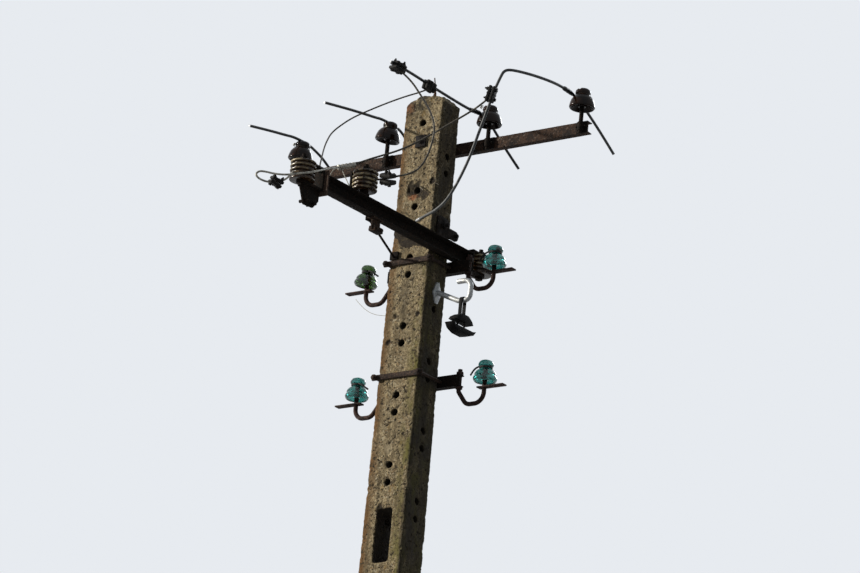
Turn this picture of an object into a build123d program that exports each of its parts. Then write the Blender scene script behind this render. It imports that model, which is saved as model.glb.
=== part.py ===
from build123d import *
import math
import os

os.makedirs("parts", exist_ok=True)

# Precast concrete shaft, tapering from foot to crown.
shaft_height = 8200
top_width = 200
top_depth = 120
foot_width = 265
foot_depth = 250
arris_chamfer = 7
crown_drop = 26
crown_inset = 20

# Ladder of windows through the shaft, cast with a draft.
window_count = 12
window_pitch = 400
window_drop = 1800
window_top = shaft_height - window_drop
window_width = 82
window_height = 230
window_corner = 10
window_draft = 2.5

# Pairs of bolt bores, one set along Y and one along X.
bore_radius = 15
pair_count = 6
pair_pitch = 300
pair_gap = 75
front_bore_drop = 115
side_bore_drop = 262
front_bore_top = shaft_height - front_bore_drop
side_bore_top = shaft_height - side_bore_drop

# Fits: gap at a seat and slack round a bolt.
seat_gap = 0.2
bolt_slack = 0.5

# Upper crossarm, a channel on the back face, hung from the second front bore.
upper_arm_length = 1524
upper_arm_web = 50
upper_arm_flange = 30
upper_arm_steel = 5
upper_arm_sag = 16
upper_arm_center_z = front_bore_top - pair_gap - upper_arm_sag
insulator_end_gap = 27
insulator_outer_x = upper_arm_length / 2 - insulator_end_gap
insulator_inner_x = 265

# Lower crossarm, a channel beside the shaft, placed from the bore that holds its cleat.
cleat_bore_z = side_bore_top - pair_pitch
lower_arm_near_y = -846
lower_arm_far_y = 165
lower_arm_web = 65
lower_arm_flange = 42
lower_arm_steel = 5.5
lower_arm_drop = 108.5
lower_arm_center_z = cleat_bore_z - lower_arm_drop

# Cleat between the lower crossarm and the shaft.
cleat_steel = 8
cleat_half_width = 40
cleat_rise = 30
cleat_fall = 138
cleat_top_z = cleat_bore_z + cleat_rise
cleat_bottom_z = cleat_bore_z - cleat_fall
ear_y = 88
ear_fall = 25
ear_z = cleat_bore_z - ear_fall
ear_radius = 22

# End plate of the lower crossarm.
end_plate_steel = 8
end_plate_width = 80
end_plate_rise = 38.5
end_plate_fall = 67.5
end_plate_top_z = lower_arm_center_z + end_plate_rise
end_plate_bottom_z = lower_arm_center_z - end_plate_fall

# Bolts.
arm_bolt_radius = 6.5
cleat_bolt_radius = 8
washer_steel = 5
washer_size = 52
nut_height_share = 1.6

# Brown pin insulators and their spindles.
pin_insulator_rise = 70
pin_insulator_base_z = upper_arm_center_z + pin_insulator_rise
pin_insulator_height = 104
pin_insulator_skirt = 54
pin_insulator_head = 34
pin_insulator_neck = 27
pin_neck_z = 63
top_groove_z = 100
pin_insulator_drops = (10, 0, 0, 0)
spindle_radius = 9
spindle_bore_depth = 60
clip_steel = 4
clip_width = 54
clip_band = 4

# Ribbed spool insulators and their clevises.
spool_radius = 52
spool_groove_radius = 43
spool_rib_count = 5
spool_rib_height = 8
spool_groove_height = 10
spool_bolt_radius = 9
clevis_steel = 8
clevis_width = 46
spool_a_y = -965
spool_b_y = -567
spool_c_y = 247
spool_aside = 20
spool_b_lift = 15
spool_b_reach = 62

# Clamped hook bars on the back face.
upper_bar_drop = 733
lower_bar_drop = 1231
upper_bar_z = shaft_height - upper_bar_drop
lower_bar_z = shaft_height - lower_bar_drop
bar_length = 422
bar_web = 50
bar_flange = 32
bar_steel = 5
front_strap_height = 22
front_strap_steel = 8
tie_rod_radius = 7
tie_rod_gap = 2

# Bent rods that carry the glass insulators.
hook_rod_radius = 9.5
hook_root_x = 200
hook_tip_x = 330
hook_drop = 107
hook_elbow_x = 244
strap_plate_length = 132
strap_plate_width = 30
strap_plate_steel = 6
strap_plate_drop = 42
glass_base_drop = 20
glass_height = 94
glass_skirt = 50
glass_head = 32
glass_neck = 25

# Galvanised service hook on the side face.
service_rod_radius = 11
service_plate_height = 92
service_plate_width = 54
service_plate_steel = 8
service_bore_index = 2
service_bore_z = side_bore_top - service_bore_index * pair_pitch
service_elbow_x = 118
service_low_x = 228
service_fall = 53
service_low_z = service_bore_z - service_fall
service_outer_x = 282
service_rise = 33
service_top_z = service_bore_z + service_rise
service_tip_x = 214

# Suspension clamp under the hook.
clamp_x = 247
clamp_strap_steel = 4
clamp_strap_width = 16
clamp_length = 160
clamp_width = 44
clamp_gap = 26

# Stiff conductors.
lead_radius = 6
jumper_radius = 4
thin_jumper_radius = 3.2
wire_slack = 0.3
lead_2_end_fall = 150


def width_at(z):
    return foot_width + (top_width - foot_width) * z / shaft_height


def depth_at(z):
    return foot_depth + (top_depth - foot_depth) * z / shaft_height


def octagon(width, depth, cut):
    half_w = width / 2
    half_d = depth / 2
    corners = [
        (half_w - cut, -half_d),
        (half_w, -half_d + cut),
        (half_w, half_d - cut),
        (half_w - cut, half_d),
        (-half_w + cut, half_d),
        (-half_w, half_d - cut),
        (-half_w, -half_d + cut),
        (-half_w + cut, -half_d),
    ]
    return make_face(Polyline(*corners, close=True))


def rod_y(radius, length, x, z, y_middle=0):
    return Pos(x, y_middle, z) * Rot(90, 0, 0) * Rot(0, 0, 90) * Cylinder(radius, length)


def rod_x(radius, length, y, z, x_middle=0):
    return Pos(x_middle, y, z) * Rot(0, 90, 0) * Rot(0, 0, 90) * Cylinder(radius, length)


def channel(length, web, flange, steel):
    """Channel along X: web face on y = 0, flanges toward +Y, middle at z = 0."""
    half = web / 2
    outline = Polyline(
        (0, -half),
        (flange, -half),
        (flange, -half + steel * 0.8),
        (steel, -half + steel * 1.15),
        (steel, half - steel * 1.15),
        (flange, half - steel * 0.8),
        (flange, half),
        (0, half),
        close=True,
    )
    section = Plane.YZ * make_face(outline)
    return extrude(section, amount=length / 2, both=True)


def hex_nut(radius):
    """Nut round a bolt of this radius, standing on z = 0."""
    across = radius * 3.2
    height = radius * nut_height_share
    return extrude(RegularPolygon(across / math.sqrt(3), 6), amount=height)


def bolt(radius, grip, plate, tail=12):
    """Bolt along Z: head and washer below z = 0, washer and nut above z = grip."""
    head = Pos(0, 0, -plate - radius * 1.3) * extrude(
        RegularPolygon(radius * 3.2 / math.sqrt(3), 6), amount=radius * 1.3)
    low_washer = Pos(0, 0, -plate / 2) * Box(washer_size, washer_size, plate)
    shank_length = grip + plate + radius * nut_height_share + tail
    shank = Pos(0, 0, shank_length / 2) * Cylinder(radius, shank_length)
    nut = Pos(0, 0, grip) * hex_nut(radius)
    return head + low_washer + shank + nut


def corner_radii(points):
    """Largest tangent arc at each inner point that its two runs allow."""
    radii = []
    for before, here, after in zip(points, points[1:], points[2:]):
        run_in = Vector(*here) - Vector(*before)
        run_out = Vector(*after) - Vector(*here)
        turn = math.radians(run_in.get_angle(run_out))
        shorter = min(run_in.length, run_out.length)
        radii.append(round(0.45 * shorter / math.tan(turn / 2), 1))
    return radii


def wire(points, radius):
    path = FilletPolyline(*points, radius=corner_radii(points))
    start = Plane(origin=path @ 0, z_dir=path % 0)
    return sweep(start * Circle(radius), path=path)


def beside(place, x, y, z):
    return (place[0] + x, place[1] + y, place[2] + z)


def below_crown(*points):
    """Places with the height given as a drop below the crown."""
    return [(x, y, shaft_height - drop) for x, y, drop in points]


def led_down(*points):
    """Places with x as a share of the outer insulator's and z as a drop below the crown."""
    return [(insulator_outer_x * share, y, shaft_height - drop) for share, y, drop in points]


def cap(radius, low, top):
    """Arc from the rim at (radius, low) to the axis at (0, top), centred on the axis."""
    center = (top ** 2 - low ** 2 - radius ** 2) / (2 * (top - low))
    reach = top - center
    half = math.atan2(radius, low - center) / 2
    middle = (reach * math.sin(half), center + reach * math.cos(half))
    return ThreePointArc((radius, low), middle, (0, top))


def pin_insulator():
    profile = Polyline(
        (0, spindle_bore_depth),
        (spindle_radius + seat_gap, spindle_bore_depth),
        (spindle_radius + seat_gap, 8),
        (17, 8),
        (20, 32),
        (26, 34),
        (pin_insulator_skirt - 7, 1),
    ) + Polyline(
        (pin_insulator_skirt - 7, 1),
        (pin_insulator_skirt - 3, 0),
        (pin_insulator_skirt, 5),
        (pin_insulator_skirt - 2, 14),
        (44, 34),
        (36, 50),
        (pin_insulator_neck + 2, pin_neck_z - 7),
        (pin_insulator_neck, pin_neck_z),
        (pin_insulator_neck + 2, pin_neck_z + 6),
        (pin_insulator_head - 1, pin_neck_z + 12),
        (pin_insulator_head, pin_neck_z + 20),
    )
    dome = cap(pin_insulator_head, pin_neck_z + 20, pin_insulator_height)
    axis_line = Line((0, pin_insulator_height), (0, spindle_bore_depth))
    face = make_face(Plane.XZ * (profile + dome + axis_line))
    groove = rod_y(lead_radius + wire_slack, 120, 0, top_groove_z)
    groove += Pos(0, 0, top_groove_z + 10) * Box(2 * lead_radius + 2 * wire_slack, 120, 20)
    return revolve(face, Axis.Z) - groove


def glass_insulator():
    profile = Polyline(
        (0, 52),
        (hook_rod_radius + seat_gap, 52),
        (hook_rod_radius + seat_gap, 6),
        (17, 6),
        (20, 26),
        (27, 28),
        (glass_skirt - 10, 1),
        (glass_skirt - 6, 0),
        (glass_skirt, 12),
        (glass_skirt - 1, 17),
        (glass_skirt - 6, 27),
        (glass_skirt - 5, 30),
        (glass_skirt - 6, 36),
        (31, 50),
        (glass_neck + 1, 55),
        (glass_neck, 60),
        (glass_neck + 1, 64),
        (glass_head - 1, 68),
        (glass_head, 74),
    )
    dome = cap(glass_head, 74, glass_height)
    axis_line = Line((0, glass_height), (0, 52))
    face = make_face(Plane.XZ * (profile + dome + axis_line))
    return revolve(face, Axis.Z)


spool_height = spool_rib_count * spool_rib_height + (spool_rib_count - 1) * spool_groove_height


def spool_insulator():
    outline = [(spool_bolt_radius + seat_gap, 0)]
    z = 0
    for rib in range(spool_rib_count):
        outline.append((spool_radius - 2, z))
        outline.append((spool_radius, z + spool_rib_height * 0.3))
        outline.append((spool_radius, z + spool_rib_height * 0.7))
        outline.append((spool_radius - 2, z + spool_rib_height))
        z += spool_rib_height
        if rib < spool_rib_count - 1:
            outline.append((spool_groove_radius, z + spool_groove_height * 0.25))
            outline.append((spool_groove_radius, z + spool_groove_height * 0.75))
            z += spool_groove_height
    outline.append((spool_bolt_radius + seat_gap, z))
    face = make_face(Plane.XZ * Polyline(*outline, close=True))
    return Pos(0, 0, -spool_height / 2) * revolve(face, Axis.Z)


def clevis(reach, lift=0, headed=True):
    """U strap round a spool: back plate on y = 0, arms toward -Y, bolt at y = -reach."""
    low = -spool_height / 2 - seat_gap - lift
    high = spool_height / 2 + seat_gap
    arm_plan = Pos(0, -reach / 2) * Rectangle(clevis_width, reach) + Pos(0, -reach) * Circle(clevis_width / 2)
    low_arm = Pos(0, 0, low - clevis_steel) * extrude(arm_plan, amount=clevis_steel)
    high_arm = Pos(0, 0, high) * extrude(arm_plan, amount=clevis_steel)
    back_height = high - low + 2 * clevis_steel
    back = Pos(0, -clevis_steel / 2, (high + low) / 2) * Box(clevis_width, clevis_steel, back_height)
    body = low_arm + high_arm + back
    grip = high - low + 2 * clevis_steel
    shank_length = grip + 26
    shank = Pos(0, -reach, low - clevis_steel + shank_length / 2) * Cylinder(spool_bolt_radius, shank_length)
    nut = Pos(0, -reach, high + clevis_steel) * hex_nut(spool_bolt_radius)
    body = body + shank + nut
    if headed:
        body += Pos(0, -reach, low - clevis_steel - 12) * extrude(RegularPolygon(17, 6), amount=12)
    if lift:
        body += Pos(0, -reach, low + lift / 2) * Cylinder(18, lift)
    return body


# Shaft: one casting with a worn, sloping crown.
shoulder_z = shaft_height - crown_drop
foot_section = octagon(foot_width, foot_depth, arris_chamfer)
shoulder_section = Pos(0, 0, shoulder_z) * octagon(width_at(shoulder_z), depth_at(shoulder_z), arris_chamfer)
crown_section = Pos(0, 0, shaft_height) * octagon(
    top_width - 2 * crown_inset, top_depth - 2 * crown_inset, arris_chamfer)
pole_shaft = loft([foot_section, shoulder_section], ruled=True)
pole_shaft += loft([shoulder_section, crown_section], ruled=True)

for index in range(window_count):
    middle_z = window_top - window_height / 2 - index * window_pitch
    throat = Plane.XZ * Pos(0, middle_z) * RectangleRounded(
        window_width - 8, window_height - 8, window_corner)
    reach = depth_at(middle_z) / 2 + 12
    pole_shaft -= extrude(throat, amount=reach, taper=-window_draft)
    pole_shaft -= extrude(throat, amount=-reach, taper=-window_draft)

for pair in range(pair_count):
    for offset in (0, pair_gap):
        front_z = front_bore_top - pair * pair_pitch - offset
        side_z = side_bore_top - pair * pair_pitch - offset
        pole_shaft -= rod_y(bore_radius, foot_depth + 20, 0, front_z)
        pole_shaft -= rod_x(bore_radius, foot_width + 20, 0, side_z)

export_step(pole_shaft, "parts/pole_shaft.step")

# Upper crossarm: channel seated on the back face, its bolt low in the second bore.
upper_arm_bottom_z = upper_arm_center_z - upper_arm_web / 2
upper_arm_y = depth_at(upper_arm_bottom_z) / 2 + seat_gap
upper_bolt_z = front_bore_top - pair_gap - bore_radius + arm_bolt_radius + seat_gap
upper_crossarm = Pos(0, upper_arm_y, upper_arm_center_z) * channel(
    upper_arm_length, upper_arm_web, upper_arm_flange, upper_arm_steel)
upper_crossarm -= rod_y(arm_bolt_radius + bolt_slack, 60, 0, upper_bolt_z, upper_arm_y)
export_step(upper_crossarm, "parts/upper_crossarm.step")

# Lower crossarm: channel along Y, welded to a cleat that is bolted to the side face.
cleat_x = width_at(cleat_bottom_z) / 2 + seat_gap
lower_arm_x = cleat_x + cleat_steel
spool_x = lower_arm_x + spool_aside
lower_arm_length = lower_arm_far_y - lower_arm_near_y
lower_arm_middle_y = (lower_arm_far_y + lower_arm_near_y) / 2
lower_crossarm = Pos(lower_arm_x, lower_arm_middle_y, lower_arm_center_z) * Rot(0, 0, -90) * channel(
    lower_arm_length, lower_arm_web, lower_arm_flange, lower_arm_steel)
export_step(lower_crossarm, "parts/lower_crossarm.step")

cleat_bolt_z = cleat_bore_z - bore_radius + cleat_bolt_radius + seat_gap
cleat_height = cleat_top_z - cleat_bottom_z
cleat_middle_z = (cleat_top_z + cleat_bottom_z) / 2
cleat_plan = Pos(0, cleat_middle_z) * RectangleRounded(2 * cleat_half_width, cleat_height, 12)
cleat_plan += Pos(ear_y / 2, ear_z) * Rectangle(ear_y, 2 * ear_radius)
cleat_plan += Pos(ear_y, ear_z) * Circle(ear_radius)
cleat_plan -= Pos(0, cleat_bolt_z) * Circle(cleat_bolt_radius + bolt_slack)
lower_arm_cleat = extrude(Plane(origin=(cleat_x, 0, 0), x_dir=(0, 1, 0), z_dir=(1, 0, 0)) * cleat_plan,
                          amount=cleat_steel - seat_gap)
lower_arm_cleat += rod_x(8, 34, ear_y, ear_z, cleat_x + cleat_steel / 2)
export_step(lower_arm_cleat, "parts/lower_arm_cleat.step")

end_plate_height = end_plate_top_z - end_plate_bottom_z
end_plate_x = lower_arm_x + lower_arm_flange / 2
end_plate_y = lower_arm_near_y - seat_gap - end_plate_steel / 2
end_plate = Pos(end_plate_x, end_plate_y, (end_plate_top_z + end_plate_bottom_z) / 2) * Box(
    end_plate_width, end_plate_steel, end_plate_height)
export_step(end_plate, "parts/lower_arm_end_plate.step")

# Through bolts: heads on the near faces, nuts on the far ones.
front_face_y = -depth_at(upper_bolt_z + washer_size / 2) / 2
upper_grip = upper_arm_y + upper_arm_steel + 2 * seat_gap - front_face_y + 1
upper_bolt = Pos(0, front_face_y - 0.4 - seat_gap, upper_bolt_z) * Rot(-90, 0, 0) * bolt(
    arm_bolt_radius, upper_grip, washer_steel)
cleat_grip = cleat_x + cleat_steel + width_at(cleat_bolt_z) / 2 + seat_gap
cleat_bolt = Pos(-width_at(cleat_bolt_z - washer_size / 2) / 2 - seat_gap, 0, cleat_bolt_z) * Rot(0, 90, 0) * bolt(
    cleat_bolt_radius, cleat_grip, washer_steel)
crossarm_bolts = Compound(children=[upper_bolt, cleat_bolt])
export_step(crossarm_bolts, "parts/crossarm_bolts.step")

# Brown insulators on spindles that are clipped to the front of the upper web.
spindle_y = upper_arm_y - clip_steel - spindle_radius - seat_gap
spindle_low_z = upper_arm_center_z - upper_arm_web / 2 - 6
insulator_xs = (-insulator_outer_x, -insulator_inner_x, insulator_inner_x, insulator_outer_x)
for number, (x, drop) in enumerate(zip(insulator_xs, pin_insulator_drops), start=1):
    insulator_z = pin_insulator_base_z - drop
    insulator = Pos(x, spindle_y, insulator_z) * pin_insulator()
    export_step(insulator, f"parts/pin_insulator_{number}.step")
    spindle_length = insulator_z + spindle_bore_depth - seat_gap - spindle_low_z
    spindle = Pos(x, spindle_y, spindle_low_z + spindle_length / 2) * Cylinder(spindle_radius, spindle_length)
    plate_y = upper_arm_y - seat_gap - clip_steel / 2
    plate = Pos(x, plate_y, upper_arm_center_z) * Box(clip_width, clip_steel, upper_arm_web)
    saddle = Pos(x, spindle_y, upper_arm_center_z) * Cylinder(spindle_radius + clip_band, upper_arm_web - 14)
    saddle += Pos(x, (spindle_y + plate_y) / 2, upper_arm_center_z) * Box(
        2 * spindle_radius + 2 * clip_band, plate_y - spindle_y, upper_arm_web - 14)
    export_step(spindle + saddle + plate, f"parts/insulator_pin_{number}.step")

# Spools at both ends of the lower crossarm and one on top of it.
spool_middle_z = lower_arm_center_z
end_face_y = lower_arm_near_y - 2 * seat_gap - end_plate_steel
bracket_a = Pos(spool_x, end_face_y, spool_middle_z) * clevis(end_face_y - spool_a_y)
gusset_top_z = spool_middle_z - spool_height / 2 - seat_gap - clevis_steel
gusset_outline = Polyline(
    (end_face_y, gusset_top_z),
    (end_face_y, gusset_top_z - 42),
    (end_face_y - 30, gusset_top_z - 78),
    (end_face_y - 90, gusset_top_z - 82),
    (end_face_y - 128, gusset_top_z),
    close=True,
)
yz_plane = Plane(origin=(spool_x, 0, 0), x_dir=(0, 1, 0), z_dir=(1, 0, 0))
bracket_a += extrude(yz_plane * make_face(gusset_outline), amount=4, both=True)
for bolt_y in (end_face_y - 38, end_face_y - 84):
    bracket_a += rod_x(7, 46, bolt_y, gusset_top_z - 66, spool_x)
bracket_c = Pos(spool_x, lower_arm_far_y + seat_gap, spool_middle_z) * Rot(0, 0, 180) * clevis(
    spool_c_y - lower_arm_far_y - seat_gap)
lower_arm_top_z = lower_arm_center_z + lower_arm_web / 2
spool_b_low_z = lower_arm_top_z + clevis_steel + spool_b_lift + 2 * seat_gap
spool_b_z = spool_b_low_z + spool_height / 2
bracket_b = Pos(spool_x - spool_b_reach, spool_b_y, spool_b_z) * Rot(0, 0, 90) * clevis(
    spool_b_reach, spool_b_lift, headed=False)
export_step(bracket_a, "parts/spool_bracket_a.step")
export_step(bracket_b, "parts/spool_bracket_b.step")
export_step(bracket_c, "parts/spool_bracket_c.step")
for name, y, z in (
    ("a", spool_a_y, spool_middle_z),
    ("b", spool_b_y, spool_b_z),
    ("c", spool_c_y, spool_middle_z),
):
    export_step(Pos(spool_x, y, z) * spool_insulator(), f"parts/spool_insulator_{name}.step")

# Hook bars clamped to the shaft by a front strap and two tie rods.
for level, bar_z in (("upper", upper_bar_z), ("lower", lower_bar_z)):
    bar_y = depth_at(bar_z - bar_web / 2) / 2 + seat_gap
    rod_x_place = width_at(bar_z - tie_rod_radius) / 2 + tie_rod_gap + tie_rod_radius
    hook_y = bar_y + bar_steel + hook_rod_radius + 2
    bar = Pos(0, bar_y, bar_z) * channel(bar_length, bar_web, bar_flange, bar_steel)
    strap_y = -depth_at(bar_z - front_strap_height / 2) / 2 - seat_gap - front_strap_steel / 2
    strap_length = 2 * rod_x_place + 4 * tie_rod_radius
    strap = Pos(0, strap_y, bar_z) * Box(strap_length, front_strap_steel, front_strap_height)
    band = strap
    for side in (-1, 1):
        bar -= rod_y(tie_rod_radius + bolt_slack, 60, side * rod_x_place, bar_z, bar_y)
        bar -= Pos(side * hook_root_x, hook_y, bar_z) * Cylinder(hook_rod_radius + bolt_slack, bar_web + 20)
        rod_start = strap_y - front_strap_steel / 2 - 16
        rod_end = bar_y + bar_steel + 18
        band += rod_y(tie_rod_radius, rod_end - rod_start, side * rod_x_place, bar_z, (rod_start + rod_end) / 2)
        band += Pos(side * rod_x_place, strap_y - front_strap_steel / 2, bar_z) * Rot(90, 0, 0) * hex_nut(tie_rod_radius)
        band += Pos(side * rod_x_place, bar_y + bar_steel + seat_gap, bar_z) * Rot(-90, 0, 0) * hex_nut(tie_rod_radius)
    export_step(bar, f"parts/{level}_hook_bar.step")
    export_step(band, f"parts/{level}_band.step")
    for side, hand in ((-1, "l"), (1, "r")):
        base_z = bar_z - glass_base_drop
        route = [
            (side * hook_root_x, hook_y, bar_z + bar_web / 2 + 24),
            (side * hook_root_x, hook_y, bar_z - bar_web / 2 - 22),
            (side * hook_elbow_x, hook_y, bar_z - hook_drop),
            (side * hook_tip_x, hook_y, bar_z - hook_drop),
            (side * hook_tip_x, hook_y, base_z + 52 - seat_gap),
        ]
        rod = FilletPolyline(*route, radius=[16, 40, 44])
        start = Plane(origin=rod @ 0, z_dir=rod % 0)
        hook = sweep(start * Circle(hook_rod_radius), path=rod)
        plate_middle_x = side * (hook_tip_x - 30 + strap_plate_length / 2)
        hook += Pos(plate_middle_x, hook_y, bar_z - strap_plate_drop) * Box(
            strap_plate_length, strap_plate_width, strap_plate_steel)
        top_nut = Pos(side * hook_root_x, hook_y, bar_z + bar_web / 2 + seat_gap) * extrude(
            RegularPolygon(16, 6), amount=12)
        low_nut = Pos(side * hook_root_x, hook_y, bar_z - bar_web / 2 - seat_gap - 10) * extrude(
            RegularPolygon(16, 6), amount=10)
        hook += top_nut + low_nut
        export_step(hook, f"parts/swan_hook_{level[0]}{hand}.step")
        glass = Pos(side * hook_tip_x, hook_y, base_z) * glass_insulator()
        export_step(glass, f"parts/glass_insulator_{level[0]}{hand}.step")

# Service hook: its shank runs through a side bore and is nutted on the far face.
service_z = service_bore_z - bore_radius + service_rod_radius + seat_gap
service_face_x = width_at(service_z - service_plate_height / 2) / 2
service_tail_x = -service_face_x - 34
service_route = [
    (service_tail_x, 0, service_z),
    (service_elbow_x, 0, service_z),
    (service_low_x, 0, service_low_z),
    (service_outer_x, 0, service_low_z),
    (service_outer_x, 0, service_top_z),
    (service_tip_x, 0, service_top_z),
]
service_path = FilletPolyline(*service_route, radius=[25, 50, 26, 32])
service_start = Plane(origin=service_path @ 0, z_dir=service_path % 0)
service_hook = sweep(service_start * Circle(service_rod_radius), path=service_path)
half_plate = service_plate_width / 2
half_high = service_plate_height / 2
diamond = Polyline(
    (-half_plate, 0),
    (-half_plate * 0.3, half_high),
    (half_plate * 0.3, half_high),
    (half_plate, 0),
    (half_plate * 0.3, -half_high),
    (-half_plate * 0.3, -half_high),
    close=True,
)
side_plane = Plane(origin=(service_face_x + seat_gap, 0, service_z), x_dir=(0, 1, 0), z_dir=(1, 0, 0))
service_hook += extrude(side_plane * make_face(diamond), amount=service_plate_steel)
far_washer_x = -service_face_x - seat_gap - washer_steel / 2
service_hook += Pos(far_washer_x, 0, service_z) * Box(washer_steel, washer_size, washer_size)
service_hook += Pos(far_washer_x - washer_steel / 2, 0, service_z) * Rot(0, -90, 0) * hex_nut(service_rod_radius)
export_step(service_hook, "parts/service_hook.step")

# Suspension clamp: a strap over the hook, and two jaws for a bundled cable.
strap_inner = service_rod_radius + seat_gap
strap_outer = strap_inner + clamp_strap_steel
strap_low_z = service_low_z - 96
bow = Plane(origin=(clamp_x, 0, service_low_z), x_dir=(0, 1, 0), z_dir=(1, 0, 0)) * (
    Circle(strap_outer) - Circle(strap_inner) - Pos(0, -strap_outer) * Rectangle(4 * strap_outer, 2 * strap_outer))
clamp_strap = extrude(bow, amount=clamp_strap_width / 2, both=True)
leg_length = service_low_z - strap_low_z
for side in (-1, 1):
    leg_y = side * (strap_inner + clamp_strap_steel / 2)
    clamp_strap += Pos(clamp_x, leg_y, service_low_z - leg_length / 2) * Box(
        clamp_strap_width, clamp_strap_steel, leg_length)
keeper_outline = Polyline(
    (-clamp_length * 0.36, strap_low_z),
    (clamp_length * 0.36, strap_low_z),
    (clamp_length * 0.30, strap_low_z + 14),
    (clamp_length * 0.14, strap_low_z + 30),
    (-clamp_length * 0.14, strap_low_z + 30),
    (-clamp_length * 0.30, strap_low_z + 14),
    close=True,
)
saddle_top_z = strap_low_z - clamp_gap
saddle_outline = Polyline(
    (-clamp_length * 0.5, saddle_top_z + 6),
    (-clamp_length * 0.36, saddle_top_z),
    (clamp_length * 0.36, saddle_top_z),
    (clamp_length * 0.5, saddle_top_z + 6),
    (clamp_length * 0.40, saddle_top_z - 14),
    (clamp_length * 0.18, saddle_top_z - 26),
    (-clamp_length * 0.18, saddle_top_z - 26),
    (-clamp_length * 0.40, saddle_top_z - 14),
    close=True,
)
clamp_plane = Plane(origin=(clamp_x, 0, 0), x_dir=(0, 1, 0), z_dir=(1, 0, 0))
suspension_clamp = clamp_strap + extrude(clamp_plane * make_face(keeper_outline), amount=clamp_width / 2, both=True)
suspension_clamp += extrude(clamp_plane * make_face(saddle_outline), amount=clamp_width / 2, both=True)
for side in (-1, 1):
    suspension_clamp += Pos(clamp_x + side * clamp_width * 0.4, 0, strap_low_z - clamp_gap / 2) * Cylinder(
        4, clamp_gap + 50)
export_step(suspension_clamp, "parts/suspension_clamp.step")

# Dead end bracket bolted under the lower crossarm.
under_z = lower_arm_center_z - lower_arm_web / 2 - seat_gap
bracket_y = -474
dead_end_bracket = Pos(spool_x, bracket_y, under_z - 3) * Box(38, 66, 6)
dead_end_bracket += Pos(spool_x, bracket_y, under_z - 26) * Box(8, 52, 48)
dead_end_bracket += Pos(spool_x, bracket_y + 6, under_z - 46) * Box(30, 56, 22)
for bolt_y in (bracket_y - 10, bracket_y + 22):
    dead_end_bracket += rod_x(6, 44, bolt_y, under_z - 46, spool_x)
export_step(dead_end_bracket, "parts/dead_end_bracket.step")

# Level brace from the web of the lower crossarm to the front face.
brace_z = under_z - 3
brace_y = -488
brace_start = (lower_arm_x - seat_gap - 4, brace_y, brace_z)
brace_end = (-78, -depth_at(brace_z - 20) / 2 - seat_gap - 5, brace_z)
brace_line = Line(brace_start, brace_end)
arm_brace = sweep(Plane(origin=brace_start, z_dir=brace_line % 0) * Circle(5), path=brace_line)
arm_brace += Pos(brace_start[0], brace_y, brace_z + 13) * Box(8, 40, 44)
arm_brace += Pos(-78, brace_end[1] + 1, brace_z + 6) * Box(40, 8, 34)
export_step(arm_brace, "parts/arm_brace.step")

# Stiff conductors, bent by hand and tied at the insulators.
top_wire_z = pin_insulator_base_z + top_groove_z
neck_wire_z = pin_insulator_base_z + pin_neck_z
neck_offset = pin_insulator_neck + lead_radius + 1.3
first_wire_z = top_wire_z - pin_insulator_drops[0]
lead_1_points = [
    (-insulator_outer_x, -303, first_wire_z - 55),
    (-insulator_outer_x, -174, first_wire_z - 30),
    (-insulator_outer_x, -72, first_wire_z - 13),
    (-insulator_outer_x, -4, first_wire_z),
    (-insulator_outer_x, 96, first_wire_z),
    (-insulator_outer_x, 150, first_wire_z - 13),
    (-insulator_outer_x, 203, first_wire_z - 29),
    (-insulator_outer_x, 262, first_wire_z - 60),
]
lead_2_points = [
    (-insulator_inner_x, -389, top_wire_z - 66),
    (-insulator_inner_x, -259, top_wire_z - 42),
    (-insulator_inner_x, -144, top_wire_z - 23),
    (-insulator_inner_x, -54, top_wire_z - 10),
    (-insulator_inner_x, -4, top_wire_z),
    (-insulator_inner_x, 96, top_wire_z),
    (-insulator_inner_x, 146, top_wire_z - 12),
    (-insulator_inner_x, 220, top_wire_z - 66),
    (-insulator_inner_x, 300, top_wire_z - lead_2_end_fall),
]
lead_3_points = [
    (insulator_inner_x - 23, -608, neck_wire_z - 11),
    (insulator_inner_x - 24, -480, neck_wire_z - 10),
    (insulator_inner_x - 27, -353, neck_wire_z - 13),
    (insulator_inner_x - 31, -179, neck_wire_z - 15),
    (insulator_inner_x - neck_offset, -46, neck_wire_z - 14),
    (insulator_inner_x - neck_offset - 1, 12, neck_wire_z - 4),
    (insulator_inner_x - neck_offset - 1, 80, neck_wire_z - 4),
    (insulator_inner_x - neck_offset, 124, neck_wire_z - 37),
    (insulator_inner_x - 30, 218, neck_wire_z - 98),
    (insulator_inner_x - 25, 312, neck_wire_z - 152),
]
lead_4_points = [
    (insulator_outer_x - 20, 325, neck_wire_z - 154),
    (insulator_outer_x - 27, 236, neck_wire_z - 94),
    (insulator_outer_x - 32, 156, neck_wire_z - 47),
    (insulator_outer_x - neck_offset, 118, neck_wire_z - 26),
    (insulator_outer_x - neck_offset, 74, neck_wire_z - 5),
    (insulator_outer_x - neck_offset, 18, neck_wire_z + 7),
    (insulator_outer_x - 20, -90, neck_wire_z),
] + led_down(
    (0.9741, -190, 84),
    (0.9510, -290, 93),
    (0.9102, -370, 100),
    (0.8871, -391, 110),
    (0.8735, -398, 138),
    (0.8449, -402, 192),
    (0.8068, -402, 276),
    (0.7578, -400, 372),
    (0.7075, -395, 466),
    (0.6476, -385, 538),
    (0.5810, -370, 594),
    (0.5156, -350, 625),
    (0.4245, -325, 644),
    (0.3184, -290, 644),
    (0.2272, -250, 639),
)
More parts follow.
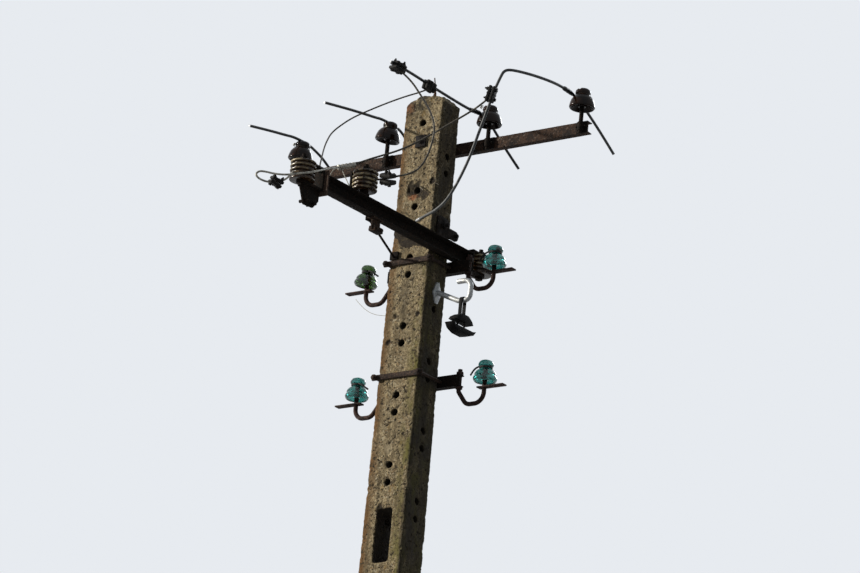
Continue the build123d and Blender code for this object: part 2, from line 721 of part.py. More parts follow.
jumper_1_points = [(insulator_inner_x - 9, -570, neck_wire_z - 37)] + below_crown(
    (296, -548, 144),
    (349, -525, 225),
    (380, -513, 275),
    (397, -504, 315),
    (405, -498, 350),
    (405, -495, 395),
    (392, -495, 448),
    (374, -503, 505),
    (350, -512, 537),
    (318, -525, 555),
    (280, -545, 564),
    (240, -563, 576),
) + [(spool_x + spool_radius + 1, spool_b_y, spool_b_z + 0.4)]
jumper_2_end = (106, lower_arm_near_y + 16, lower_arm_top_z + 0.5 + thin_jumper_radius)
jumper_2_points = [(insulator_inner_x - 10, -358, neck_wire_z - 37)] + below_crown(
    (216, -366, 123),
    (152, -385, 139),
    (83, -410, 165),
    (19, -440, 197),
    (-38, -480, 237),
    (-63, -520, 281),
    (-67, -570, 331),
    (-45, -620, 385),
    (-17, -670, 443),
    (41, -750, 531),
    (82, -805, 580),
) + [jumper_2_end]
jumper_3_points = led_down(
    (0.8082, -408, 230),
    (0.7633, -412, 254),
    (0.7034, -416, 277),
    (0.5932, -425, 314),
    (0.4857, -440, 354),
    (0.3837, -460, 394),
    (0.3048, -490, 427),
    (0.2422, -530, 454),
    (0.1769, -580, 487),
    (0.1252, -614, 514),
)
left_loop_points = [beside(jumper_3_points[-1], -24, -38, -17)] + [
    beside((spool_x, spool_a_y, spool_middle_z), *offset)
    for offset in (
        (-26, 235, 103.5),
        (25, 135, 58.5),
        (69, 40, 11.5),
        (88, -25, -20.5),
        (87, -70, -41.5),
        (68, -101, -52.5),
        (29, -135, -65.5),
        (-13, -163, -63.5),
        (-38, -181, -57.5),
        (-59, -196, -56.5),
        (-71, -203, -69.5),
        (-63, -197, -85.5),
        (-46, -175, -94.5),
        (-31, -150, -92.5),
        (-19, -113, -79.5),
        (-7, -80, -55.5),
        (0, -spool_radius - jumper_radius - 0.6, -18),
    )
]
wires = {
    "lead_1": (lead_1_points, lead_radius),
    "lead_2": (lead_2_points, lead_radius),
    "lead_3": (lead_3_points, lead_radius),
    "lead_4": (lead_4_points, lead_radius),
    "jumper_1": (jumper_1_points, jumper_radius),
    "jumper_2": (jumper_2_points, thin_jumper_radius),
    "jumper_3": (jumper_3_points, jumper_radius),
    "left_loop": (left_loop_points, jumper_radius),
}
for name, (points, radius) in wires.items():
    export_step(wire(points, radius), f"parts/{name}.step")

# Clamps that join the conductors, each bored round the ones it holds.
sleeve_start = Vector(*beside(jumper_3_points[-1], 8, 13, 6))
sleeve_end = Vector(*beside(left_loop_points[0], -8, -13, -6))
sleeve = Plane(origin=sleeve_start, z_dir=sleeve_end - sleeve_start) * extrude(
    Circle(2 * lead_radius), amount=(sleeve_end - sleeve_start).length)
clamps = [
    (Pos(*beside(lead_3_points[0], 6, 36, -12)) * Box(46, 58, 54), ("lead_3", "jumper_1")),
    (Pos(*beside(lead_3_points[2], 8, 0, -12)) * Box(40, 54, 50), ("lead_3", "jumper_2")),
    (Pos(*beside(lead_4_points[12], -13, -2, -18)) * Rot(0, 17, 0) * Box(44, 34, 70), ("lead_4", "jumper_3")),
    (sleeve, ("jumper_3", "left_loop")),
    (Pos(*beside(left_loop_points[14], 8, 19, 6)) * Box(44, 54, 40), ("left_loop",)),
    (Pos(*beside(jumper_1_points[12], 4, 1, -2)) * Box(50, 36, 48), ("jumper_1",)),
]
connectors = []
for block, held in clamps:
    for name in held:
        points, radius = wires[name]
        block -= wire(points, radius + wire_slack)
    connectors += block.solids()
export_step(Compound(children=connectors), "parts/connectors.step")
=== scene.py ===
import math

import bmesh
import bpy
from mathutils import Matrix, Vector, noise


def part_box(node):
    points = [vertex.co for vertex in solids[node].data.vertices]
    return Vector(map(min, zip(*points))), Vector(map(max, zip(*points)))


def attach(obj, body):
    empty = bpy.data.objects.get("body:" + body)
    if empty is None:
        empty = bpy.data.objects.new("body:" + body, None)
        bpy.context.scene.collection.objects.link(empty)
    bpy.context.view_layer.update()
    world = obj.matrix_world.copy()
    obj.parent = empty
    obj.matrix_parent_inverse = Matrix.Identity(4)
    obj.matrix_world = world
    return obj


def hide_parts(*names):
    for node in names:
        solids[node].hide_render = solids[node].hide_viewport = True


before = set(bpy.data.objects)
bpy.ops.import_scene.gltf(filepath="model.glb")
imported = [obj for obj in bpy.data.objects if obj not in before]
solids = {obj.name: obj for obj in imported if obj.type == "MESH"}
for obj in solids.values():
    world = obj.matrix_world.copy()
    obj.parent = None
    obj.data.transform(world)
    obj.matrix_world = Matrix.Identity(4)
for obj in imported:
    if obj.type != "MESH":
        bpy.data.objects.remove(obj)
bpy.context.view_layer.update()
scene = bpy.context.scene
scene.view_settings.view_transform = "Standard"

# Camera: a long lens, low on the ground and 17 m off, tilted up at the head of the pole.
# It leans five degrees, so the shaft stands slightly askew in the picture.
focal_pixels = 4344.2
picture_width = 860
sensor_width = 36
camera_height = 1.6
camera_data = bpy.data.cameras.new("camera")
camera_data.sensor_width = sensor_width
camera_data.lens = focal_pixels * sensor_width / picture_width
camera_data.clip_end = 200
camera = bpy.data.objects.new("camera", camera_data)
scene.collection.objects.link(camera)
scene.camera = camera
camera_distance = 17.067
camera_side = math.radians(38.130)
camera_turn = camera_side + math.radians(-0.185)
camera_pitch = math.radians(18.720)
camera_lean = math.radians(5.257)
looking = Vector((
    -math.sin(camera_turn) * math.cos(camera_pitch),
    math.cos(camera_turn) * math.cos(camera_pitch),
    math.sin(camera_pitch),
))
level_right = Vector((math.cos(camera_turn), math.sin(camera_turn), 0))
level_up = level_right.cross(looking)
picture_right = level_right * math.cos(camera_lean) + level_up * math.sin(camera_lean)
picture_up = level_up * math.cos(camera_lean) - level_right * math.sin(camera_lean)
camera_axes = Matrix((picture_right, picture_up, -looking)).transposed()
camera.matrix_world = Matrix.Translation((
    camera_distance * math.sin(camera_side),
    -camera_distance * math.cos(camera_side),
    camera_height,
)) @ camera_axes.to_4x4()

# Floor and light: a pale floor in a pale room. A key lamp stands low on the left and in front, a
# weaker and softer one behind, and the room gives a low even fill.
room_tone = (0.80, 0.83, 0.87, 1)
room_fill = 0.17
fill_tone = (0.80, 0.89, 1.0, 1)
key_strength = 5.2
key_from = (-0.81, -0.50, 0.31)
key_spread = 3
key_tone = (1.0, 0.95, 0.86)
back_strength = 1.0
back_from = (-0.10, 0.85, 0.45)
back_spread = 20
back_tone = (0.92, 0.96, 1.0)
floor_half_width = 60
floor_tone = (0.74, 0.76, 0.79, 1)
floor_bounce = (0.12, 0.12, 0.12, 1)


def seen_directly(nodes, links):
    """1 for the picture itself and for what gloss and glass show, 0 for light that bounces"""
    path = nodes.new("ShaderNodeLightPath")
    gloss = nodes.new("ShaderNodeMath")
    gloss.operation = "MAXIMUM"
    links.new(path.outputs["Is Camera Ray"], gloss.inputs[0])
    links.new(path.outputs["Is Glossy Ray"], gloss.inputs[1])
    clear = nodes.new("ShaderNodeMath")
    clear.operation = "MAXIMUM"
    links.new(gloss.outputs[0], clear.inputs[0])
    links.new(path.outputs["Is Transmission Ray"], clear.inputs[1])
    return clear.outputs[0]


room = bpy.data.worlds.new("room")
scene.world = room
room.use_nodes = True
nodes = room.node_tree.nodes
links = room.node_tree.links
fill = nodes["Background"]
fill.inputs["Color"].default_value = fill_tone
fill.inputs["Strength"].default_value = room_fill
backdrop = nodes.new("ShaderNodeBackground")
backdrop.inputs["Color"].default_value = room_tone
room_mix = nodes.new("ShaderNodeMixShader")
links.new(seen_directly(nodes, links), room_mix.inputs[0])
links.new(fill.outputs[0], room_mix.inputs[1])
links.new(backdrop.outputs[0], room_mix.inputs[2])
links.new(room_mix.outputs[0], nodes["World Output"].inputs["Surface"])

for lamp_name, strength, origin, spread, tone in (
    ("key_lamp", key_strength, key_from, key_spread, key_tone),
    ("back_lamp", back_strength, back_from, back_spread, back_tone),
):
    lamp_data = bpy.data.lights.new(lamp_name, "SUN")
    lamp_data.energy = strength
    lamp_data.angle = math.radians(spread)
    lamp_data.color = tone
    lamp = bpy.data.objects.new(lamp_name, lamp_data)
    scene.collection.objects.link(lamp)
    lamp.rotation_mode = "QUATERNION"
    lamp.rotation_quaternion = Vector(origin).to_track_quat("Z", "Y")

form = bmesh.new()
bmesh.ops.create_grid(form, x_segments=1, y_segments=1, size=floor_half_width)
floor_mesh = bpy.data.meshes.new("floor")
form.to_mesh(floor_mesh)
form.free()
floor = bpy.data.objects.new("floor", floor_mesh)
scene.collection.objects.link(floor)
floor_paint = bpy.data.materials.new("floor_paint")
floor_paint.use_nodes = True
nodes = floor_paint.node_tree.nodes
links = floor_paint.node_tree.links
floor_mix = nodes.new("ShaderNodeMix")
floor_mix.data_type = "RGBA"
floor_mix.inputs["A"].default_value = floor_bounce
floor_mix.inputs["B"].default_value = floor_tone
links.new(seen_directly(nodes, links), floor_mix.inputs["Factor"])
links.new(floor_mix.outputs["Result"], nodes["Principled BSDF"].inputs["Base Color"])
nodes["Principled BSDF"].inputs["Roughness"].default_value = 0.9
floor_mesh.materials.append(floor_paint)

# Shaft: one long casting of coarse concrete. The skin has weathered off, so the gravel shows,
# lichen grows on it, and the arrises and the crown are chipped. The head is modelled finer.
shaft_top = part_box("pole_shaft")[1].z
foot_width, width_taper = 0.265, 0.065
foot_depth, depth_taper = 0.250, 0.130
shaft_lengths = (
    ("pole_head", 7.30, 8.40, 0.0037),
    ("pole_middle", 5.62, 7.30, 0.0046),
    ("pole_foot", -0.10, 5.62, 0.0088),
)
spare_length = 0.03
weld_distance = 0.00002
gravel_size = 0.0064
pit_share = 0.48
pit_depth = 0.003
wear_width = 0.020
chip_depth = 0.007
painted_shade_depth = 0.006
front_skin = 0.012
crown_wear = 0.06
crown_bite = 0.006
crown_swell = 0.012
crown_bulge = 0.010
crown_middle_x = -0.012
crown_half_width = 0.085
# Broken spots on the front face: x, z, radius, depth and tone. A positive tone is paler broken concrete. A
# negative tone is painted shade in the hollow, and round and right of the bore at 7.79 m it is a painted
# shadow of things that are not modelled.
broken_and_shaded_spots = (
    (-0.012, 7.788, 0.040, 0.009, -0.9),
    (0.024, 7.770, 0.024, 0.004, -0.9),
    (0.046, 7.759, 0.022, 0.003, -0.9),
    (0.012, 7.985, 0.034, 0.006, 0.9),
    (-0.012, 6.654, 0.026, 0.004, 0.9),
    (-0.012, 6.349, 0.024, 0.004, 0.9),
    (-0.045, 7.232, 0.013, 0.005, -0.6),
    (0.070, 7.229, 0.012, 0.007, -0.9),
    (-0.070, 7.120, 0.014, 0.008, -0.9),
    (0.078, 7.814, 0.016, 0.008, -0.9),
    (0.039, 8.028, 0.009, 0.008, -1.0),
    (-0.026, 6.402, 0.020, 0.006, -0.8),
)
lost_corners = (
    (0.104, 0.066, 8.205, 0.034),
    (0.103, -0.064, 8.203, 0.026),
    (-0.112, -0.062, 8.212, 0.040),
)
# Painted shadow: a ragged dark patch on the front face under the lower crossarm, between this lower edge and
# a sloping top line, stands for the shadow of the crossarm and its fittings.
painted_shadow_top, painted_shadow_slope = 7.605, 0.5
painted_shadow_edge = (
    (-0.140, 7.584), (-0.076, 7.578), (-0.062, 7.553), (-0.045, 7.537), (-0.007, 7.527), (0.014, 7.535),
    (0.042, 7.528), (0.059, 7.523), (0.062, 7.549), (0.140, 7.540),
)
rust_spots = (
    (-0.016, 7.754, 0.022, 0.013, 1.0),
    (-0.076, 8.158, 0.024, 0.018, 0.55),
    (-0.018, 7.984, 0.040, 0.009, 0.45),
)


def new_finish(name):
    """Material to be worked up: returns it with its shader and its object coordinates"""
    finish = bpy.data.materials.new(name)
    finish.use_nodes = True
    nodes = finish.node_tree.nodes
    place = nodes.new("ShaderNodeTexCoord").outputs["Object"]
    return finish, nodes["Principled BSDF"], place


def cells(place, size):
    """Cells about this many metres across: the distance from each middle, and a shade for each"""
    tree = place.id_data
    crystals = tree.nodes.new("ShaderNodeTexVoronoi")
    crystals.inputs["Scale"].default_value = 1 / size
    tree.links.new(place, crystals.inputs["Vector"])
    shades = tree.nodes.new("ShaderNodeSeparateColor")
    tree.links.new(crystals.outputs["Color"], shades.inputs[0])
    return crystals.outputs["Distance"], shades.outputs[0]


def layer_share(place, layer):
    """What the mesh keeps under this name at each of its points"""
    kept = place.id_data.nodes.new("ShaderNodeAttribute")
    kept.attribute_name = layer
    return kept.outputs["Fac"]


def ramp(value, low, high):
    """0 where the value is low, 1 where it is high"""
    tree = value.id_data
    limits = tree.nodes.new("ShaderNodeMapRange")
    limits.inputs["From Min"].default_value = low
    limits.inputs["From Max"].default_value = high
    tree.links.new(value, limits.inputs["Value"])
    return limits.outputs[0]


def patches(place, size, low, high, detail=5, stretch=(1, 1, 1)):
    """Cloudy patches about this many metres across, as a mask from 0 to 1"""
    tree = place.id_data
    scaled = tree.nodes.new("ShaderNodeMapping")
    scaled.inputs["Scale"].default_value = stretch
    tree.links.new(place, scaled.inputs["Vector"])
    cloud = tree.nodes.new("ShaderNodeTexNoise")
    cloud.inputs["Scale"].default_value = 1 / size
    cloud.inputs["Detail"].default_value = detail
    cloud.inputs["Roughness"].default_value = 0.62
    tree.links.new(scaled.outputs[0], cloud.inputs["Vector"])
    return ramp(cloud.outputs["Fac"], low, high)


def both(one, other):
    """Where one mask and the other meet"""
    tree = one.id_data
    product = tree.nodes.new("ShaderNodeMath")
    product.operation = "MULTIPLY"
    tree.links.new(one, product.inputs[0])
    tree.links.new(other, product.inputs[1])
    return product.outputs[0]


def stained(mask, under, over):
    """Colour over where the mask is 1, and colour under where it is 0"""
    tree = mask.id_data
    mix = tree.nodes.new("ShaderNodeMix")
    mix.data_type = "RGBA"
    tree.links.new(mask, mix.inputs["Factor"])
    for socket, tone in ((mix.inputs["A"], under), (mix.inputs["B"], over)):
        if isinstance(tone, tuple):
            socket.default_value = (*tone, 1)
        else:
            tree.links.new(tone, socket)
    return mix.outputs["Result"]


def surface(shader, color, rough, gloss, metal=0):
    """Gives the shader its colour, and how rough, glossy and metallic the surface is"""
    shader.id_data.links.new(color, shader.inputs["Base Color"])
    shader.inputs["Roughness"].default_value = rough
    shader.inputs["Specular IOR Level"].default_value = gloss
    shader.inputs["Metallic"].default_value = metal


def relief(shader, height, depth, below=None):
    """Bump of this depth in metres, over the bump below it"""
    tree = height.id_data
    bump = tree.nodes.new("ShaderNodeBump")
    bump.inputs["Distance"].default_value = depth
    tree.links.new(height, bump.inputs["Height"])
    if below is not None:
        tree.links.new(below, bump.inputs["Normal"])
    tree.links.new(bump.outputs[0], shader.inputs["Normal"])
    return bump.outputs[0]


def hand_over(form, name, finish, slot, *replaced, crease=38):
    """Turns a worked shape into a piece of the pole, with its finish and the solids it stands for"""
    bmesh.ops.remove_doubles(form, verts=form.verts, dist=0.000004)
    bmesh.ops.recalc_face_normals(form, faces=form.faces)
    for face in form.faces:
        face.smooth = True
    for edge in form.edges:
        if len(edge.link_faces) == 2 and edge.calc_face_angle(0) > math.radians(crease):
            edge.smooth = False
    mesh = bpy.data.meshes.new(name)
    form.to_mesh(mesh)
    form.free()
    mesh.materials.clear()
    mesh.materials.append(finish)
    piece = bpy.data.objects.new(name, mesh)
    scene.collection.objects.link(piece)
    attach(piece, "root")
    if replaced:
        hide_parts(*replaced)
    return piece


def plane_cut(form, spot, facing, drop=False):
    """Cuts the shape through by a plane, and may drop all that lies on the side that it faces"""
    bmesh.ops.bisect_plane(
        form, geom=form.verts[:] + form.edges[:] + form.faces[:],
        plane_co=spot, plane_no=facing, clear_outer=drop)


def close_ends(form):
    """Closes the open ends of a cut shape"""
    bmesh.ops.holes_fill(form, edges=[e for e in form.edges if e.is_boundary], sides=0)


concrete, shader, place = new_finish("weathered_concrete")
nodes = concrete.node_tree.nodes
links = concrete.node_tree.links
stone_middle, stone_shade = cells(place, gravel_size)
stone_tones = nodes.new("ShaderNodeValToRGB")
stone_tones.color_ramp.interpolation = "CONSTANT"
links.new(stone_shade, stone_tones.inputs[0])
for index, (start, tone) in enumerate((
    (0.00, (0.270, 0.215, 0.130)),
    (0.22, (0.150, 0.115, 0.064)),
    (0.38, (0.340, 0.280, 0.180)),
    (0.54, (0.240, 0.160, 0.080)),
    (0.68, (0.200, 0.175, 0.118)),
    (0.80, (0.440, 0.380, 0.265)),
    (0.90, (0.050, 0.038, 0.024)),
)):
    stops = stone_tones.color_ramp.elements
    stop = stops[index] if index < 2 else stops.new(start)
    stop.position = start
    stop.color = (*tone, 1)
sand = patches(place, 0.0042, 0.38, 0.64, detail=3)
paste = stained(sand, (0.115, 0.086, 0.044), (0.370, 0.296, 0.176))
open_skin = patches(place, 0.020, 0.44, 0.56, detail=6)
color = stained(open_skin, paste, stone_tones.outputs[0])
pale_lumps = patches(place, 0.0140, 0.54, 0.61, detail=4)
color = stained(pale_lumps, color, (0.430, 0.345, 0.205))
ochre = patches(place, 0.034, 0.60, 0.70, detail=9, stretch=(1, 1, 0.6))
color = stained(ochre, color, (0.245, 0.165, 0.060))
sides = nodes.new("ShaderNodeSeparateXYZ")
links.new(place, sides.inputs[0])
left_side = ramp(sides.outputs["X"], -0.052, -0.088)
rusty_algae = patches(place, 0.040, 0.28, 0.50, detail=8, stretch=(1, 1, 0.35))
color = stained(both(left_side, rusty_algae), color, (0.150, 0.080, 0.030))
right_side = ramp(sides.outputs["X"], 0.030, 0.085)
mossy_height = ramp(sides.outputs["Z"], 7.62, 7.36)
moss = patches(place, 0.050, 0.40, 0.56, detail=9, stretch=(1, 1, 0.4))
moss = both(both(right_side, moss), mossy_height)
color = stained(moss, color, (0.140, 0.125, 0.036))
runs = patches(place, 0.026, 0.50, 0.70, detail=7, stretch=(1, 1, 0.12))
color = stained(runs, color, (0.110, 0.082, 0.044))
soot = patches(place, 0.30, 0.54, 0.74, detail=8, stretch=(1.6, 1.6, 0.5))
color = stained(soot, color, (0.085, 0.070, 0.046))
crown_left = both(
    ramp(sides.outputs["Z"], 8.08, 8.17),
    ramp(sides.outputs["X"], 0.030, -0.010))
crown_dirt = both(crown_left, patches(place, 0.030, 0.34, 0.54, detail=8))
color = stained(crown_dirt, color, (0.024, 0.020, 0.013))
# Painted shade: the +X side face is darkened in patches, as the side that stands in shade.
painted_shade_side = both(
    ramp(sides.outputs["X"], 0.088, 0.101),
    patches(place, 0.060, 0.30, 0.60, detail=8, stretch=(1, 1, 0.4)))
color = stained(painted_shade_side, color, (0.052, 0.044, 0.032))
wear_and_shade_share = layer_share(place, "wear")
color = stained(ramp(wear_and_shade_share, 0.25, 0.9), color, (0.340, 0.280, 0.180))
# Negative values are painted shade and painted shadow: dark pits, hollows, bores and windows, and the patch
# under the lower crossarm.
color = stained(ramp(wear_and_shade_share, -0.1, -0.7), color, (0.024, 0.018, 0.012))
rust_share = layer_share(place, "rust")
rust_edge = patches(place, 0.012, 0.25, 0.45, detail=7)
color = stained(
    both(ramp(rust_share, 0.1, 1.1), rust_edge),
    color, (0.330, 0.135, 0.060))
specks = patches(place, 0.0065, 0.58, 0.66, detail=4)
color = stained(specks, color, (0.075, 0.055, 0.030))
pocks = patches(place, 0.0210, 0.57, 0.62, detail=6)
color = stained(pocks, color, (0.058, 0.044, 0.024))
# Painted shade: small pits are painted near black, and are bumped in below.
pits = patches(place, 0.0085, 0.63, 0.655, detail=2)
color = stained(pits, color, (0.012, 0.009, 0.006))
surface(shader, color, rough=0.93, gloss=0.22)
pebbles = relief(shader, ramp(stone_middle, 0.6, 0), 0.0007)
grit = relief(shader, sand, 0.0009, pebbles)
hollow = nodes.new("ShaderNodeMath")
hollow.operation = "SUBTRACT"
hollow.inputs[0].default_value = 1
links.new(pits, hollow.inputs[1])
relief(shader, hollow.outputs[0], 0.0025, grit)


def weathered(point, normal):
    """Where a point of the cast skin lies after long weather, how worn or pitted it is, how dark its painted
    shade and painted shadow are, and its rust
    """
    share = point.z / shaft_top
    wide = (foot_width - width_taper * share) / 2
    deep = (foot_depth - depth_taper * share) / 2
    swell = noise.noise(point * 6) * 0.0010 + noise.noise(point * 38) * 0.0005
    grains = noise.noise(point * 120) * 0.0010
    moved = point + normal * (swell + grains - 0.0006)
    # worn holds wear where it is positive, and painted shade and painted shadow where it is negative.
    worn = 0
    hole = noise.noise(point * 78 + Vector((5, 1, 8)))
    if hole > pit_share:
        moved -= normal * min((hole - pit_share) * 0.04, pit_depth)
        # Painted shade: each pit is also painted dark, more the deeper it is.
        worn = -min((hole - pit_share) * 10, 1)
    edge = math.hypot(max(wide - abs(point.x), 0), max(deep - abs(point.y), 0))
    if edge < wear_width:
        bite = noise.noise(point * 18 + Vector((3, 7, 1))) * 0.55 + noise.noise(point * 70) * 0.45 - 0.02
        if bite > 0:
            depth = min(bite * 0.014, chip_depth) * (1 - edge / wear_width)
            moved -= Vector((math.copysign(depth, point.x), math.copysign(depth, point.y), 0)) * 0.7
            worn = max(worn, min(depth * 200, 1) * 0.7)
    below_crown = shaft_top - point.z
    if below_crown < crown_wear:
        share = 1 - below_crown / crown_wear
        bite = noise.noise(point * 26 + Vector((9, 2, 5))) + 0.5 * noise.noise(point * 70)
        moved -= Vector((point.x / wide, point.y / deep, 0.6)) * bite * crown_bite * share
        middle = max(1 - ((point.x - crown_middle_x) / crown_half_width) ** 2, 0)
        moved.z += crown_swell * middle * share
        outward = min(max((abs(point.y) - 0.01) / 0.02, 0), 1)
        moved.y += math.copysign(crown_bulge * middle * share * outward, point.y)
    for x, y, z, radius in lost_corners:
        away = point - Vector((x, y, z))
        reach = radius * (1 + 0.25 * noise.noise(point * 40))
        if away.length < reach:
            moved = Vector((x, y, z)) + away.normalized() * reach
            moved += normal * noise.noise(point * 110) * 0.0015
    rust = 0
    # Painted shade: the insides of the bores and the windows, deeper than this below the skin, are painted
    # dark.
    if max(abs(point.x) - wide, abs(point.y) - deep) < -painted_shade_depth and below_crown > 0.03:
        worn = -1
    if point.y < front_skin - deep:
        # Painted shadow under the lower crossarm: points between the ragged edge and the top line are painted
        # dark.
        for (x_low, z_low), (x_high, z_high) in zip(painted_shadow_edge, painted_shadow_edge[1:]):
            if x_low <= point.x < x_high:
                lowest = z_low + (z_high - z_low) * (point.x - x_low) / (x_high - x_low)
                lowest += 0.005 * noise.noise(point * 90)
                if lowest < point.z < painted_shadow_top - painted_shadow_slope * point.x:
                    worn = -1
        # A negative tone paints the hollow dark: painted shade, and a painted shadow near the bore at 7.79 m.
        for spot_x, spot_z, radius, depth, tone in broken_and_shaded_spots:
            away = math.hypot(point.x - spot_x, point.z - spot_z) / radius
            away += 0.45 * noise.noise(point * 55 + Vector((2, 2, 9)))
            if away < 1:
                moved.y += depth * min((1 - away) * 2.2, 1) * (0.75 + 0.5 * noise.noise(point * 110))
                worn = tone * (1 - away * 0.4)
        for spot_x, spot_z, half_x, half_z, strength in rust_spots:
            away = math.hypot((point.x - spot_x) / half_x, (point.z - spot_z) / half_z)
            away += 0.5 * noise.noise(point * 80)
            rust = max(rust, min(1.5 - away, 1) * strength)
    return moved, worn, rust


for shaft_name, cut_low, cut_high, grain in shaft_lengths:
    form = bmesh.new()
    form.from_mesh(solids["pole_shaft"].data)
    bmesh.ops.remove_doubles(form, verts=form.verts, dist=weld_distance)
    for height, outward in ((cut_low, -1), (cut_high, 1)):
        plane_cut(form, (0, 0, height + outward * spare_length), (0, 0, outward), drop=True)
    close_ends(form)
    rough_mesh = bpy.data.meshes.new("rough_shaft")
    form.to_mesh(rough_mesh)
    form.free()
    rough_shaft = bpy.data.objects.new("rough_shaft", rough_mesh)
    scene.collection.objects.link(rough_shaft)
    even_skin = rough_shaft.modifiers.new("even_skin", "REMESH")
    even_skin.mode = "VOXEL"
    even_skin.voxel_size = grain
    bpy.context.view_layer.update()
    even_mesh = bpy.data.meshes.new_from_object(
        rough_shaft.evaluated_get(bpy.context.evaluated_depsgraph_get()))
    bpy.data.objects.remove(rough_shaft)
    form = bmesh.new()
    form.from_mesh(even_mesh)
    for height, outward in ((cut_low, -1), (cut_high, 1)):
        plane_cut(form, (0, 0, height), (0, 0, outward), drop=True)
    form.normal_update()
    wear_and_shade_layer = form.verts.layers.float.new("wear")
    rust_layer = form.verts.layers.float.new("rust")
    moves = [weathered(v.co, v.normal) for v in form.verts]
    for vert, (spot, worn, rust) in zip(form.verts, moves):
        vert.co = (spot.x, spot.y, max(spot.z, 0))
        vert[wear_and_shade_layer] = worn
        vert[rust_layer] = rust
    close_ends(form)
    hand_over(form, shaft_name, concrete, "concrete", "pole_shaft", crease=75)

# Reinforcement: two thin bars of the casting stand out of the crown, one long and one short, and
# lean together. They are cast in, and rusted thin.
rebar_radius = 0.0044
rebar_thinning = (1.1, 1.05, 1.0, 0.85, 0.7, 0.6)


def iron_finish(
        name, deep, warm, bloom, share=0.5, metal=0.1, rough=0.85, flake=0.012, depth=0.0006, gloss=0.2):
    """Old steel: rust between a deep and a warm tone, with a pale bloom and fine scale"""
    finish, shader, place = new_finish(name)
    scale = patches(place, flake, share - 0.10, share + 0.10, detail=8)
    color = stained(scale, deep, warm)
    pale = patches(place, flake * 0.7, 0.58, 0.68, detail=6)
    color = stained(pale, color, bloom)
    dirt = patches(place, flake * 6, 0.52, 0.66, detail=6)
    color = stained(dirt, color, tuple(part * 0.45 for part in deep))
    surface(shader, color, rough, gloss, metal)
    coarse = relief(shader, scale, depth)
    fine = patches(place, flake * 0.25, 0.35, 0.65, detail=4)
    relief(shader, fine, depth * 0.6, coarse)
    return finish


def smooth_path(points, density=10):
    """Points in metres along the smooth line that a stiff wire takes through these, in mm"""
    line = bpy.data.curves.new("path", "CURVE")
    line.dimensions = "3D"
    run = line.splines.new("NURBS")
    run.points.add(len(points) - 1)
    for knot, spot in zip(run.points, points):
        knot.co = (spot[0] / 1000, spot[1] / 1000, spot[2] / 1000, 1)
    run.order_u = 3
    run.use_endpoint_u = True
    run.resolution_u = density
    holder = bpy.data.objects.new("path", line)
    mesh = bpy.data.meshes.new_from_object(holder)
    path = [v.co.copy() for v in mesh.vertices]
    bpy.data.objects.remove(holder)
    bpy.data.curves.remove(line)
    bpy.data.meshes.remove(mesh)
    return path


def draw_wire(form, path, radius, sides=8, swell=None, lay=0):
    """Adds a round wire along the path. With a lay it is twisted from six strands round a core"""
    line = bpy.data.curves.new("wire", "CURVE")
    line.dimensions = "3D"
    line.use_fill_caps = True
    run = line.splines.new("POLY")
    run.points.add(len(path) - 1)
    gone = 0
    for index, (knot, spot) in enumerate(zip(run.points, path)):
        if index:
            gone += (spot - path[index - 1]).length
        knot.co = (*spot, 1)
        knot.radius = swell[index * len(swell) // len(path)] if swell else 1
        knot.tilt = math.tau * gone / lay if lay else 0
    holder = bpy.data.objects.new("wire", line)
    holders = [holder]
    if lay:
        outline = bpy.data.curves.new("strands", "CURVE")
        outline.dimensions = "2D"
        outline.fill_mode = "NONE"
        ring = outline.splines.new("POLY")
        ring.points.add(23)
        for index, knot in enumerate(ring.points):
            angle = math.tau * index / 24
            reach = radius * (0.90 + 0.10 * abs(math.cos(3 * angle)))
            knot.co = (reach * math.cos(angle), reach * math.sin(angle), 0, 1)
        ring.use_cyclic_u = True
        strands = bpy.data.objects.new("strands", outline)
        line.bevel_mode = "OBJECT"
        line.bevel_object = strands
        holders.append(strands)
    else:
        line.bevel_depth = radius
        line.bevel_resolution = (sides - 4) // 2
    for made in holders:
        scene.collection.objects.link(made)
    bpy.context.view_layer.update()
    mesh = bpy.data.meshes.new_from_object(holder.evaluated_get(bpy.context.evaluated_depsgraph_get()))
    form.from_mesh(mesh)
    bpy.data.meshes.remove(mesh)
    for made in holders:
        curve = made.data
        bpy.data.objects.remove(made)
        bpy.data.curves.remove(curve)


rebar_rust = iron_finish("rebar_rust", (0.030, 0.015, 0.009), (0.110, 0.045, 0.020), (0.20, 0.11, 0.06))
form = bmesh.new()
for bar in (
    ((6, 0, 8170), (6, 0, 8223), (3, 0, 8260), (-7, 0, 8311)),
    ((-9, 3, 8170), (-7, 2, 8222), (0, 1, 8240), (3, 0, 8252)),
):
    draw_wire(form, smooth_path(bar), rebar_radius, sides=10, swell=rebar_thinning)
hand_over(form, "reinforcement_ends", rebar_rust, "rusty_steel")

# Upper crossarm: a rolled channel with its web against the back of the shaft, rusted through
# its paint, with scale and pits all over.
channel_rounding = 0.0014
upper_step = 0.009
section_rust = iron_finish(
    "section_rust", (0.014, 0.008, 0.006), (0.056, 0.029, 0.016), (0.170, 0.128, 0.098), share=0.50)


